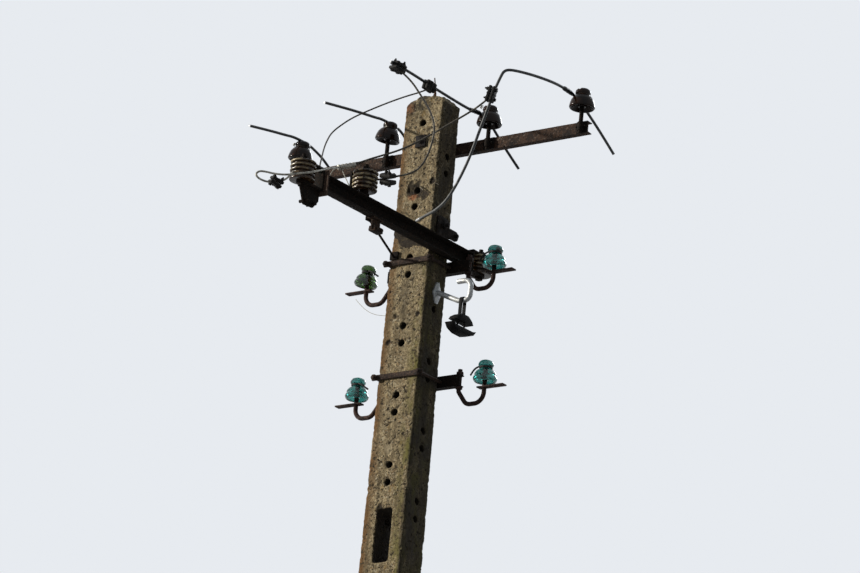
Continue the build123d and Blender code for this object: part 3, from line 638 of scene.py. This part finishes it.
def dressed(form, node, rounding=0.0012):
    """Adds a copy of a solid with its flat faces made whole and its arrises rounded"""
    copy = bmesh.new()
    copy.from_mesh(solids[node].data)
    bmesh.ops.remove_doubles(copy, verts=copy.verts, dist=weld_distance)
    bmesh.ops.dissolve_limit(copy, angle_limit=math.radians(1), verts=copy.verts, edges=copy.edges)
    sharp = [e for e in copy.edges if len(e.link_faces) == 2 and e.calc_face_angle(0) > math.radians(38)]
    bmesh.ops.bevel(
        copy, geom=sharp, offset=rounding, offset_type="OFFSET", segments=2, profile=0.5,
        affect="EDGES", material=-1, clamp_overlap=True)
    mesh = bpy.data.meshes.new("dressed")
    copy.to_mesh(mesh)
    copy.free()
    form.from_mesh(mesh)
    bpy.data.meshes.remove(mesh)


def cut_across(form, axis, low, high, step):
    """Cuts every face of the shape across this axis at even steps, to give a skin to work"""
    across = Vector((axis == 0, axis == 1, axis == 2))
    for index in range(1, int((high - low) / step) + 1):
        plane_cut(form, across * (low + index * step), across)


def pitted(form, depth, size):
    """Eats the skin away with rust pits of about this depth and size"""
    form.normal_update()
    eaten = [
        depth * (max(noise.noise(v.co / size), -0.2) + 0.5 * noise.noise(v.co / size * 2.7))
        for v in form.verts]
    for vert, amount in zip(form.verts, eaten):
        vert.co -= vert.normal * amount


upper_low, upper_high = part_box("upper_crossarm")
form = bmesh.new()
dressed(form, "upper_crossarm", rounding=channel_rounding)
cut_across(form, 0, upper_low.x, upper_high.x, upper_step)
cut_across(form, 2, upper_low.z, upper_high.z, upper_step)
pitted(form, 0.0007, 0.012)
hand_over(form, "upper_crossarm_channel", section_rust, "rusty_steel", "upper_crossarm")

# Lower crossarm: a second channel, at right angles, welded to the cleat on the side face and
# closed at its near end by a plate. The old dark paint has mostly burnt off.
dark_rust = iron_finish(
    "dark_rust", (0.006, 0.005, 0.004), (0.020, 0.012, 0.008), (0.055, 0.038, 0.028), share=0.55, gloss=0.10)
# Painted light: the end plate's rust is painted paler than the arm's, for the sun on its face.
plate_rust_painted_lit = iron_finish(
    "plate_rust_painted_lit", (0.060, 0.034, 0.024), (0.125, 0.082, 0.062), (0.150, 0.138, 0.128), share=0.46,
    flake=0.009)
lower_step_along = 0.010
lower_step_up = 0.011
lower_low, lower_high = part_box("lower_crossarm")
form = bmesh.new()
dressed(form, "lower_crossarm", rounding=channel_rounding)
cut_across(form, 1, lower_low.y, lower_high.y, lower_step_along)
cut_across(form, 2, lower_low.z, lower_high.z, lower_step_up)
pitted(form, 0.0006, 0.014)
hand_over(form, "lower_crossarm_channel", dark_rust, "dark_steel", "lower_crossarm")
# Painted shadow: the crossarm bolts and their plate are painted near black, for the shade that wires and nuts
# cast on them.
bolts_in_painted_shadow = iron_finish(
    "bolts_in_painted_shadow", (0.006, 0.005, 0.005), (0.022, 0.015, 0.011), (0.090, 0.070, 0.058), share=0.56)


def worn_copy(node, name, finish, slot, rounding):
    """Makes a piece in the shape of its solid, with the arrises worn round"""
    form = bmesh.new()
    dressed(form, node, rounding)
    hand_over(form, name, finish, slot, node)


for part, radius, finish, slot in (
    ("lower_arm_end_plate", 0.0015, plate_rust_painted_lit, "rusty_steel"),
    ("lower_arm_cleat", 0.0015, dark_rust, "dark_steel"),
    ("crossarm_bolts", 0.0007, bolts_in_painted_shadow, "rusty_steel"),
    ("dead_end_bracket", 0.0012, section_rust, "rusty_steel"),
    ("arm_brace", 0.0008, dark_rust, "dark_steel"),
):
    worn_copy(part, part + "_worn", finish, slot, radius)

# Brown pin insulators: turned stoneware under a thick dark glaze, screwed on steel pins. The
# conductors lie in the groove of the crown or beside the neck, tied with soft wire.
pin_xs = (-0.735, -0.265, 0.265, 0.735)
pin_y = 0.04883
pin_base_zs = (8.054, 8.064, 8.064, 8.064)
pin_outline = (
    (0, 58), (9.3, 58), (9.3, 6), (17, 6), (20, 26), (26, 28), (46, 1), (50, -0.5), (54, 5), (53, 14),
    (51, 24), (47, 36), (40, 47), (32.5, 54), (29.4, 57), (30.8, 61), (32.4, 67), (31, 76),
    (24.5, 83), (12, 87.4), (0, 88),
)
pin_lifts = (0.012, 0.018, 0.008, 0.008)
pin_leans = (7, 10, 0, 0)
lean_height = 0.030
groove_radius = 0.0066
groove_z = 0.084
grooved_half_width = 0.011
grooved_above = 0.074
neck_tie_zs = (0.053, 0.062)
neck_tie_reach = 30.6
nut_aside = 0.0205
nut_behind = 0.0089
nut_z = 7.994


def eased(outline, radius, steps=4):
    """Outline in mm with its corners rounded to this radius where the runs allow, in metres"""
    points = [Vector(point) / 1000 for point in outline]
    line = [points[0]]
    for before, here, after in zip(points, points[1:], points[2:]):
        back = before - here
        ahead = after - here
        half = max(back.angle(ahead) / 2, 0.05)
        reach = min(radius / 1000 / math.tan(half), back.length * 0.48, ahead.length * 0.48)
        start = here + back.normalized() * reach
        end = here + ahead.normalized() * reach
        for step in range(steps + 1):
            share = step / steps
            line.append(start.lerp(here, share).lerp(here.lerp(end, share), share))
    line.append(points[-1])
    return line


def turn_shape(form, outline, where, steps=48):
    """Adds a turned shape: this outline of (radius, height) spun about the Z axis of this place"""
    spine = [form.verts.new(where @ Vector((radius, 0, height))) for radius, height in outline]
    edges = [form.edges.new(pair) for pair in zip(spine, spine[1:])]
    bmesh.ops.spin(
        form, geom=spine + edges, cent=where.translation, axis=where.to_3x3() @ Vector((0, 0, 1)),
        angle=math.tau, steps=steps, use_merge=True)


def coil(start, end, radius, turns):
    """Points in mm of a helix of this radius round the line from start to end"""
    start = Vector(start)
    along = Vector(end) - start
    side = along.orthogonal().normalized()
    other = along.normalized().cross(side)
    count = int(turns * 8) + 1
    points = []
    for index in range(count):
        angle = math.tau * index / 8
        middle = start + along * index / (count - 1)
        points.append(middle + (side * math.cos(angle) + other * math.sin(angle)) * radius)
    return points


def soft_wire(form, points, radius, density=6):
    """Adds a soft wire along the smooth line through these points in mm"""
    draw_wire(form, smooth_path(points, density), radius, sides=6)


brown_glaze, shader, place = new_finish("brown_glaze")
glaze_depth = patches(place, 0.030, 0.42, 0.62, detail=4, stretch=(1, 1, 0.6))
color = stained(glaze_depth, (0.0060, 0.0030, 0.0020), (0.022, 0.009, 0.004))
thin_glaze = patches(place, 0.022, 0.62, 0.70, detail=5)
color = stained(thin_glaze, color, (0.110, 0.034, 0.010))
dust = patches(place, 0.014, 0.66, 0.76, detail=7)
color = stained(dust, color, (0.060, 0.046, 0.032))
surface(shader, color, rough=0.16, gloss=0.13)
relief(shader, patches(place, 0.022, 0.3, 0.7, detail=2), 0.0003)
tie_metal = iron_finish(
    "tie_metal", (0.024, 0.020, 0.015), (0.085, 0.070, 0.048), (0.34, 0.30, 0.20), metal=0.3, rough=0.55,
    flake=0.006, depth=0.0002)
tie_radius = 0.0019
washer_outline = ((0, 0), (7.5, 0), (7.5, 5), (0, 5))
tip_outline = ((0, 0), (3.6, 0), (3.6, 11), (2.8, 12), (0, 12))
for number, (x, base) in enumerate(zip(pin_xs, pin_base_zs), start=1):
    form = bmesh.new()
    seat = base + pin_lifts[number - 1]
    lean = Matrix.Rotation(math.radians(pin_leans[number - 1]), 4, "Y")
    turn_shape(form, eased(pin_outline, 3.2), Matrix.Identity(4), steps=72)
    for vert in form.verts:
        aside = abs(vert.co.x)
        if aside < grooved_half_width and vert.co.z > grooved_above:
            groove = math.sqrt(max(groove_radius ** 2 - aside ** 2, 0))
            rise = (aside - groove_radius) * 1.4
            limit = groove_z - groove if aside < groove_radius else groove_z + rise
            vert.co.z = min(vert.co.z, limit)
    pivot = Matrix.Translation((x, pin_y, seat + lean_height)) @ lean
    pivot = pivot @ Matrix.Translation((0, 0, -lean_height))
    form.transform(pivot)
    hand_over(form, f"pin_insulator_glazed_{number}", brown_glaze, "brown_glaze", f"pin_insulator_{number}")
    form = bmesh.new()
    dressed(form, f"insulator_pin_{number}", rounding=0.0009)
    for side in (-1, 1):
        nut_place = Matrix.Translation((x + side * nut_aside, pin_y + nut_behind, nut_z))
        nut_place = nut_place @ Matrix.Rotation(math.pi / 2, 4, "X")
        turn_shape(form, eased(washer_outline, 0.8, 2), nut_place, steps=6)
        turn_shape(form, eased(tip_outline, 0.8, 2), nut_place, steps=12)
    hand_over(form, f"insulator_pin_worn_{number}", dark_rust, "dark_steel", f"insulator_pin_{number}")
    form = bmesh.new()
    neck_low, neck_high = (pivot @ Vector((0, 0, height)) * 1000 for height in neck_tie_zs)
    soft_wire(form, coil(neck_low, neck_high, neck_tie_reach, 3), tie_radius)
    hand_over(form, f"neck_tie_{number}", tie_metal, "galvanised")

# Ribbed spools: stoneware turned with five ribs, held between the arms of a strap by a long
# bolt. The glaze is dark brown. The cream on the rims of the ribs is a painted highlight, strongest
# on the upper ribs and weakest on the near spool, which is painted as shaded.
spool_half = 40
spool_bore = 9.4
rib_count = 5
rib_pitch = 18
highlight_reach = 0.0475
spool_glaze, shader, place = new_finish("spool_glaze")
spool_outline = [(spool_bore, -spool_half)]
for rib in range(rib_count):
    rib_low = -spool_half + rib * rib_pitch
    spool_outline += [(50.5, rib_low), (52.3, rib_low + 2.5), (52.3, rib_low + 5.5), (50.5, rib_low + 8)]
    if rib < rib_count - 1:
        spool_outline += [(43, rib_low + 10.5), (42.6, rib_low + 13), (43, rib_low + 15.5)]
spool_outline += [(spool_bore, spool_half), (spool_bore, -spool_half)]
rib_highlight_share = layer_share(place, "rib")
color = stained(
    patches(place, 0.020, 0.4, 0.6), (0.014, 0.007, 0.004), (0.060, 0.028, 0.012))
# Painted highlight in cream on the rims of the ribs.
rib_highlight = both(
    ramp(rib_highlight_share, 0.2, 0.8),
    patches(place, 0.040, 0.42, 0.56, detail=6))
color = stained(rib_highlight, color, (0.500, 0.410, 0.250))
streaks = patches(place, 0.012, 0.55, 0.66, detail=7, stretch=(1, 1, 0.4))
color = stained(streaks, color, (0.110, 0.075, 0.035))
surface(shader, color, rough=0.24, gloss=0.20)
relief(shader, patches(place, 0.015, 0.3, 0.7, detail=3), 0.0005)
for letter, highlight_strength in (("a", 0.55), ("b", 1.25), ("c", 0.8)):
    low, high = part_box(f"spool_insulator_{letter}")
    middle = (low + high) / 2
    form = bmesh.new()
    turn_shape(form, eased(spool_outline, 2.6, steps=3), Matrix.Translation(middle), steps=72)
    rib_highlight_layer = form.verts.layers.float.new("rib")
    for vert in form.verts:
        reach = math.hypot(vert.co.x - middle.x, vert.co.y - middle.y)
        height = (vert.co.z - middle.z) / 0.08 + 0.5
        # Painted highlight, not wear: the rims of the ribs are painted cream, more towards the top of the
        # spool and scaled by each spool's highlight strength.
        rubbed = min(max((reach - highlight_reach) / 0.004, 0), 1)
        vert[rib_highlight_layer] = rubbed * min((0.35 + height) * highlight_strength, 1)
    hand_over(
        form, f"spool_glazed_{letter}", spool_glaze, "brown_glaze", f"spool_insulator_{letter}", crease=60)
    bracket = f"spool_bracket_{letter}"
    worn_copy(bracket, f"spool_bracket_worn_{letter}", dark_rust, "dark_steel", 0.0016)

# Hook bars: two short channels on the back, each pulled against the shaft by a flat strap in
# front and two tie rods. Bent hooks stand in their ends and carry the glass insulators.
band_rust = iron_finish(
    "band_rust", (0.014, 0.009, 0.007), (0.055, 0.032, 0.022), (0.150, 0.110, 0.080), share=0.52, flake=0.010)
hook_rust = iron_finish(
    "hook_rust", (0.014, 0.009, 0.008), (0.072, 0.040, 0.032), (0.170, 0.118, 0.100), share=0.50, flake=0.014)
for level in ("upper", "lower"):
    for part, finish, slot in (("band", band_rust, "rusty_steel"), ("hook_bar", dark_rust, "dark_steel")):
        worn_copy(f"{level}_{part}", f"{level}_{part}_worn", finish, slot, 0.0012)

# Glass insulators: pressed glass, screwed on the hook tips, one olive and three teal. A dark
# soft tie goes round each neck.
glass_outline = (
    (0, 52), (9.7, 52), (9.7, 6), (17, 6), (20, 26), (27, 28), (40, 1), (44, -0.5), (48.5, 6), (50.6, 12),
    (49.4, 18), (44.2, 27), (45.4, 31), (43.6, 37), (38, 45), (31, 50), (26, 55), (24.8, 60), (26, 64),
    (31.2, 68), (32.5, 74), (30.6, 81), (25.5, 88), (14, 93.2), (0, 94),
)
glass_leans = {"ul": 9, "ur": 0, "ll": 0, "lr": 0}
glass_lean_height = 0.060
glass_neck_reach = 27.8
glass_tie_radius = 0.0024
glass_tail_radius = 0.0042


def pressed_glass(name, body, deep):
    """Thick bubbly pressed glass with grime, its tint varying in patches"""
    finish, shader, place = new_finish(name)
    links = finish.node_tree.links
    tint = patches(place, 0.030, 0.35, 0.65, detail=3)
    color = stained(tint, deep, body)
    grime = patches(place, 0.010, 0.68, 0.78, detail=7)
    color = stained(grime, color, (0.030, 0.032, 0.024))
    links.new(color, shader.inputs["Base Color"])
    clear = finish.node_tree.nodes.new("ShaderNodeMath")
    clear.operation = "MULTIPLY_ADD"
    clear.inputs[1].default_value = -0.6
    clear.inputs[2].default_value = 0.94
    links.new(grime, clear.inputs[0])
    links.new(clear.outputs[0], shader.inputs["Transmission Weight"])
    shader.inputs["Roughness"].default_value = 0.03
    shader.inputs["IOR"].default_value = 1.5
    relief(shader, patches(place, 0.016, 0.3, 0.7, detail=2), 0.0003)
    return finish


olive_glass = pressed_glass("olive_glass", (0.050, 0.125, 0.018), (0.007, 0.026, 0.005))
teal_glass = pressed_glass("teal_glass", (0.045, 0.300, 0.260), (0.010, 0.090, 0.085))
tie_dark = iron_finish(
    "tie_dark", (0.012, 0.012, 0.012), (0.030, 0.028, 0.026), (0.090, 0.085, 0.080), metal=0.2, rough=0.6,
    flake=0.006, depth=0.0002)
for corner in ("ul", "ur", "ll", "lr"):
    low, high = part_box(f"glass_insulator_{corner}")
    middle = (low + high) / 2
    glass, glass_slot = (olive_glass, "olive_glass") if corner == "ul" else (teal_glass, "teal_glass")
    form = bmesh.new()
    turn_shape(form, eased(glass_outline, 2.8, steps=3), Matrix.Identity(4), steps=64)
    lean = Matrix.Rotation(math.radians(glass_leans[corner]), 4, "Y")
    pivot = Matrix.Translation((middle.x, middle.y, low.z + glass_lean_height)) @ lean
    form.transform(pivot @ Matrix.Translation((0, 0, -glass_lean_height)))
    hand_over(form, f"glass_pressed_{corner}", glass, glass_slot, f"glass_insulator_{corner}")
    worn_copy(f"swan_hook_{corner}", f"swan_hook_worn_{corner}", hook_rust, "dark_steel", 0.0009)
    form = bmesh.new()
    neck = (middle.x * 1000, middle.y * 1000, low.z * 1000)
    inward = -1 if middle.x > 0 else 1
    neck_low, neck_high = ((neck[0], neck[1], neck[2] + height) for height in (57, 65))
    soft_wire(form, coil(neck_low, neck_high, glass_neck_reach, 3.25), glass_tie_radius)
    tail = [
        (neck[0] + inward * x, neck[1] + y, neck[2] + z)
        for x, y, z in ((20, -22, 62), (34, -24, 57), (52, -20, 44), (66, -12, 34))]
    draw_wire(form, smooth_path(tail, 6), glass_tail_radius, lay=0.022)
    hand_over(form, f"glass_tie_{corner}", tie_dark, "black_fitting")

# Service hook: a galvanised pig tail hook whose shank goes through the shaft, with a diamond
# plate in front. A black cradle clamp hangs in it from a strap.
spangle_size = 0.006
zinc, shader, place = new_finish("galvanised_zinc")
spangle_shade = cells(place, spangle_size)[1]
color = stained(spangle_shade, (0.33, 0.34, 0.35), (0.56, 0.58, 0.58))
white_rust = patches(place, 0.012, 0.55, 0.66, detail=7)
color = stained(white_rust, color, (0.56, 0.55, 0.51))
grime = patches(place, 0.020, 0.60, 0.72, detail=7)
color = stained(grime, color, (0.16, 0.15, 0.13))
surface(shader, color, rough=0.40, gloss=0.30, metal=0.25)
relief(shader, patches(place, 0.005, 0.3, 0.7, detail=3), 0.0003)
worn_copy("service_hook", "service_hook_zinc", zinc, "galvanised", 0.0010)
clamp_black = iron_finish(
    "clamp_black", (0.007, 0.007, 0.008), (0.016, 0.015, 0.015), (0.060, 0.050, 0.042), metal=0.0, rough=0.70,
    flake=0.014, depth=0.0003, gloss=0.05)
worn_copy("suspension_clamp", "suspension_clamp_body", clamp_black, "black_fitting", 0.0022)

# Conductors: stiff wires, cut off short. Leads 1 to 3 have black sheaths and lead 4 a grey one.
# The jumpers are bare and dull, and the loop at the left spool is paler.
top_wire_z = 8164
first_wire_z = 8154
neck_aside = 34.3
sheath_radius = 0.0060
jumper_radius = 0.0042
thin_jumper_radius = 0.0034
routes = {
    "lead_1": (
        (-735, -303, first_wire_z - 55), (-735, -174, first_wire_z - 30), (-735, -72, first_wire_z - 13),
        (-735, -4, first_wire_z), (-735, 96, first_wire_z), (-735, 150, first_wire_z - 13),
        (-735, 203, first_wire_z - 29), (-735, 262, first_wire_z - 60)),
    "lead_2": (
        (-265, -389, top_wire_z - 66), (-265, -259, top_wire_z - 42), (-265, -144, top_wire_z - 23),
        (-265, -54, top_wire_z - 10), (-265, -4, top_wire_z), (-265, 96, top_wire_z),
        (-265, 146, top_wire_z - 12), (-265, 220, top_wire_z - 66), (-265, 300, top_wire_z - 150)),
    "lead_3": (
        (242, -608, 8116), (241, -480, 8117), (238, -353, 8114), (234, -179, 8112),
        (265 - neck_aside, -46, 8113), (264 - neck_aside, 12, 8123), (264 - neck_aside, 80, 8123),
        (265 - neck_aside, 124, 8090), (235, 218, 8029), (240, 312, 7975)),
    "lead_4": (
        (715, 325, 7973), (708, 236, 8033), (703, 156, 8080), (735 - neck_aside, 118, 8101),
        (735 - neck_aside, 74, 8122), (735 - neck_aside, 18, 8134), (715, -90, 8127), (716, -190, 8116),
        (699, -290, 8107), (669, -370, 8100), (652, -391, 8090), (642, -398, 8062), (621, -402, 8008),
        (593, -402, 7924), (557, -400, 7828), (520, -395, 7734), (476, -385, 7662), (427, -370, 7606),
        (379, -350, 7575), (312, -325, 7556), (234, -290, 7556), (167, -250, 7561)),
    "jumper_1": (
        (256, -570, 8090), (296, -548, 8056), (349, -525, 7975), (380, -513, 7925), (397, -504, 7885),
        (405, -498, 7850), (405, -495, 7805), (392, -495, 7752), (374, -503, 7695), (350, -512, 7663),
        (318, -525, 7645), (280, -545, 7636), (240, -563, 7624), (184, -567, 7625.8)),
    "jumper_2": (
        (255, -358, 8090), (216, -366, 8077), (152, -385, 8061), (83, -410, 8035), (19, -440, 8003),
        (-38, -480, 7963), (-63, -520, 7919), (-67, -570, 7869), (-45, -620, 7815), (-17, -670, 7757),
        (41, -750, 7669), (82, -805, 7620), (106, -830, 7565.7)),
    "jumper_3": (
        (594, -408, 7970), (561, -412, 7946), (517, -416, 7923), (436, -425, 7886), (357, -440, 7846),
        (282, -460, 7806), (224, -490, 7773), (178, -530, 7746), (130, -580, 7713), (92, -614, 7686)),
    "left_loop": (
        (68, -652, 7669), (105, -730, 7633), (156, -830, 7588), (200, -925, 7541), (219, -990, 7509),
        (218, -1035, 7488), (199, -1066, 7477), (160, -1100, 7464), (118, -1128, 7466), (93, -1146, 7472),
        (72, -1161, 7473), (60, -1168, 7460), (68, -1162, 7444), (85, -1140, 7435), (100, -1115, 7437),
        (112, -1078, 7450), (124, -1045, 7474), (131, -1021.6, 7511.5)),
}


def wire_finish(name, tone, wear_tone, metal, rough):
    """Weathered conductor: a plain tone with fine grime and rubbed places"""
    finish, shader, place = new_finish(name)
    grime = patches(place, 0.016, 0.42, 0.62, detail=7)
    color = stained(grime, tone, tuple(part * 0.45 for part in tone))
    rubbed = patches(place, 0.030, 0.56, 0.68, detail=6)
    color = stained(rubbed, color, wear_tone)
    surface(shader, color, rough, 0.22, metal)
    relief(shader, patches(place, 0.004, 0.3, 0.7, detail=3), 0.0002)
    return finish


black_sheath = wire_finish("black_sheath", (0.012, 0.013, 0.015), (0.045, 0.043, 0.040), 0, 0.42)
grey_sheath = wire_finish("grey_sheath", (0.105, 0.110, 0.112), (0.230, 0.235, 0.225), 0, 0.45)
bare_grey = wire_finish("bare_grey", (0.062, 0.054, 0.042), (0.190, 0.175, 0.140), 0.2, 0.50)
bare_pale = wire_finish("bare_pale", (0.430, 0.410, 0.350), (0.560, 0.545, 0.480), 0.3, 0.48)
cut_metal = wire_finish("cut_metal", (0.700, 0.720, 0.740), (0.860, 0.870, 0.880), 0.5, 0.30)
paths = {name: smooth_path(points, 12) for name, points in routes.items()}
for name, radius, finish, slot, lay in (
    ("lead_1", sheath_radius, black_sheath, "black_lead", 0),
    ("lead_2", sheath_radius, black_sheath, "black_lead", 0),
    ("lead_3", sheath_radius, black_sheath, "black_lead", 0),
    ("lead_4", sheath_radius, grey_sheath, "black_lead", 0),
    ("jumper_1", jumper_radius, bare_grey, "conductor", 0.075),
    ("jumper_2", thin_jumper_radius, bare_grey, "conductor", 0.060),
    ("jumper_3", jumper_radius, bare_grey, "conductor", 0.075),
    ("left_loop", jumper_radius, bare_pale, "conductor", 0.075),
):
    form = bmesh.new()
    draw_wire(form, paths[name], radius, sides=12, lay=lay)
    hand_over(form, f"{name}_drawn", finish, slot, name, crease=80)

# Cut ends: the bright core of each lead stands a little out of its sheath, and the tip of lead 4
# is stripped for a few centimetres.
core_radius = 0.0046
bared_radius = 0.0064
bared_length = 0.045
form = bmesh.new()
for name, tip_index, inner_index in (
    ("lead_1", 0, 1), ("lead_2", 0, 1), ("lead_3", 0, 1), ("lead_4", -1, -2),
):
    tip = paths[name][tip_index]
    out = (tip - paths[name][inner_index]).normalized()
    draw_wire(form, [tip - out * 0.004, tip + out * 0.007, tip + out * 0.009], core_radius, lay=0.06)
bared = [spot for spot in paths["lead_4"] if (spot - paths["lead_4"][-1]).length < bared_length]
draw_wire(form, bared, bared_radius, sides=10)
hand_over(form, "cut_ends", cut_metal, "conductor", crease=80)

# Taped places: turns of old tape thicken the conductors where they leave the two right hand
# insulators.
tape_radius = 0.0096
tape_lumps = (0.82, 1.0, 0.94, 1.04, 0.97, 1.02, 0.84)
form = bmesh.new()
for name, low_y, high_y in (("lead_4", -0.062, 0.022), ("lead_3", -0.050, 0.030)):
    taped = [spot for spot in paths[name] if low_y < spot.y < high_y and spot.z > 8.10]
    draw_wire(form, taped, tape_radius, sides=12, swell=tape_lumps)
hand_over(form, "taped_places", black_sheath, "black_lead", crease=60)

# Line clamps: pairs of ribbed jaws bolted round two wires, weathered nearly black, and one
# crimped sleeve in pale metal.
jaw_apart = 0.26
jaw_metal = iron_finish(
    "jaw_metal", (0.006, 0.006, 0.006), (0.020, 0.018, 0.016), (0.110, 0.100, 0.090), metal=0.1, rough=0.6,
    flake=0.008, depth=0.0004, gloss=0.10)


def slab(form, where, size, rounding):
    """Adds a block of this size in metres with rounded arrises"""
    made = bmesh.ops.create_cube(form, size=1, matrix=where @ Matrix.Diagonal((*size, 1)))
    edges = {edge for vert in made["verts"] for edge in vert.link_edges}
    bmesh.ops.bevel(
        form, geom=list(edges), offset=rounding, offset_type="OFFSET", segments=2, profile=0.5,
        affect="EDGES", material=-1)


def small_bolt(form, where, grip, radius=0.004):
    """Adds a bolt along Z through this grip: hex head below, washer, hex nut and thread above"""
    across = radius * 1850
    washer = across * 1.15
    head = radius * 1400
    thread = radius * 1000
    lifted = where @ Matrix.Translation((0, 0, grip))
    for outline, softening, spot, steps in (
        (((0, -head), (across, -head), (across, 0), (0, 0)), 0.8, where, 6),
        (((0, 0), (washer, 0), (washer, 1.2), (0, 1.2)), 0.4, lifted, 14),
        (((0, 1.2), (across, 1.2), (across, head + 2), (0, head + 2)), 0.8, lifted, 6),
    ):
        turn_shape(form, eased(outline, softening, 2), spot, steps=steps)
    ridges = [(0, head + 1)]
    for ridge in range(5):
        ridges += [(thread, head + 2 + ridge * 1.6), (thread * 0.8, head + 2.8 + ridge * 1.6)]
    ridges.append((0, head + 10))
    turn_shape(form, [Vector(point) / 1000 for point in ridges], lifted, steps=10)


def jaw_clamp(form, where, length, width, height):
    """Adds two ribbed jaws, one over the other, with two bolts through them"""
    thick = height * 0.36
    for side in (-1, 1):
        jaw = where @ Matrix.Translation((0, 0, side * height * jaw_apart))
        slab(form, jaw, (length, width, thick), thick * 0.28)
        for rib in (-0.31, 0, 0.31):
            rib_place = jaw @ Matrix.Translation((rib * length, 0, side * thick * 0.34))
            slab(form, rib_place, (length * 0.12, width * 0.94, thick * 0.55), 0.0012)
    for along, aside in ((-0.27, 0.24), (0.27, -0.24)):
        foot = where @ Matrix.Translation((along * length, aside * width, -height * 0.48))
        small_bolt(form, foot, height * 0.96)


form = bmesh.new()
for center, angles, size in (
    ((0.248, -0.572, 8.104), (8, 10, 82), (0.058, 0.046, 0.038)),
    ((0.246, -0.353, 8.102), (100, 8, 86), (0.054, 0.040, 0.036)),
    ((0.608, -0.404, 7.990), (20, -73, 0), (0.066, 0.038, 0.034)),
    ((0.108, -1.096, 7.443), (15, 20, 68), (0.052, 0.040, 0.034)),
    ((0.243, -0.562, 7.622), (25, 14, 0), (0.060, 0.042, 0.050)),
):
    turned = Matrix.Rotation(math.radians(angles[2]), 4, "Z") @ Matrix.Rotation(
        math.radians(angles[1]), 4, "Y") @ Matrix.Rotation(math.radians(angles[0]), 4, "X")
    jaw_clamp(form, Matrix.Translation(center) @ turned, *size)
hand_over(form, "line_clamps", jaw_metal, "black_fitting", "connectors")

form = bmesh.new()
crimp_count = 4
sleeve_start = Vector((0.100, -0.601, 7.692))
sleeve_end = Vector((0.060, -0.665, 7.663))
sleeve_way = sleeve_end - sleeve_start
sleeve_length = sleeve_way.length * 1000
crimps = [(0, 0), (7, 0), (11, 2)]
for crimp in range(crimp_count):
    middle = sleeve_length * (crimp + 1) / (crimp_count + 1)
    crimps += [(11.6, middle - 5), (9.6, middle - 2), (9.6, middle + 2), (11.6, middle + 5)]
crimps += [(11, sleeve_length - 2), (7, sleeve_length), (0, sleeve_length)]
sleeve_place = Matrix.Translation(sleeve_start) @ sleeve_way.to_track_quat("Z", "Y").to_matrix().to_4x4()
turn_shape(form, eased(crimps, 1.2, 2), sleeve_place, steps=24)
hand_over(form, "crimped_sleeve", bare_pale, "conductor")

# Loose ties: ends of soft wire, bent as they were left, and two knots at the pin insulators. A bent
# nail and a curl of wire stick out of the front of the shaft.
nail_radius = 0.0022
knot_radius = 0.0020
form = bmesh.new()
for tie, thickness in (
    (((72, -644, 7671), (56, -650, 7673), (38, -650, 7669), (21, -650, 7657), (11, -650, 7635),
      (17, -650, 7608), (35, -650, 7579), (61, -650, 7558), (100, -646, 7546)), 0.0024),
    (((66, -648, 7668), (82, -652, 7641), (97, -652, 7617), (116, -650, 7584)), 0.0020),
    (((-262, 14, 8134), (-240, -4, 8128), (-232, -6, 8123), (-243, -6, 8133), (-247, -5, 8150)), 0.0012),
    (((-310, -8, 7360), (-292, -20, 7345), (-273, -28, 7329), (-232, -30, 7293), (-187, -28, 7269),
      (-134, -24, 7258), (-100, -20, 7258)), 0.0011),
):
    soft_wire(form, tie, thickness, 8)
hand_over(form, "loose_ties", bare_pale, "conductor")
form = bmesh.new()
for nail in (
    ((88, -58, 7766), (90, -68, 7772), (91, -70, 7788), (98, -70, 7798), (110, -68, 7796), (118, -66, 7788)),
    ((22, -60, 7798), (24, -70, 7795), (36, -78, 7783), (50, -80, 7770)),
):
    soft_wire(form, nail, nail_radius, 8)
hand_over(form, "nail_and_curl", tie_metal, "galvanised")
form = bmesh.new()
for x, y, z in ((-757, 20, 8132), (254, -4, 8136)):
    soft_wire(form, coil((x, y, z - 5), (x + 6, y, z + 7), 4.5, 2), knot_radius)
hand_over(form, "tie_knots", bare_pale, "conductor")
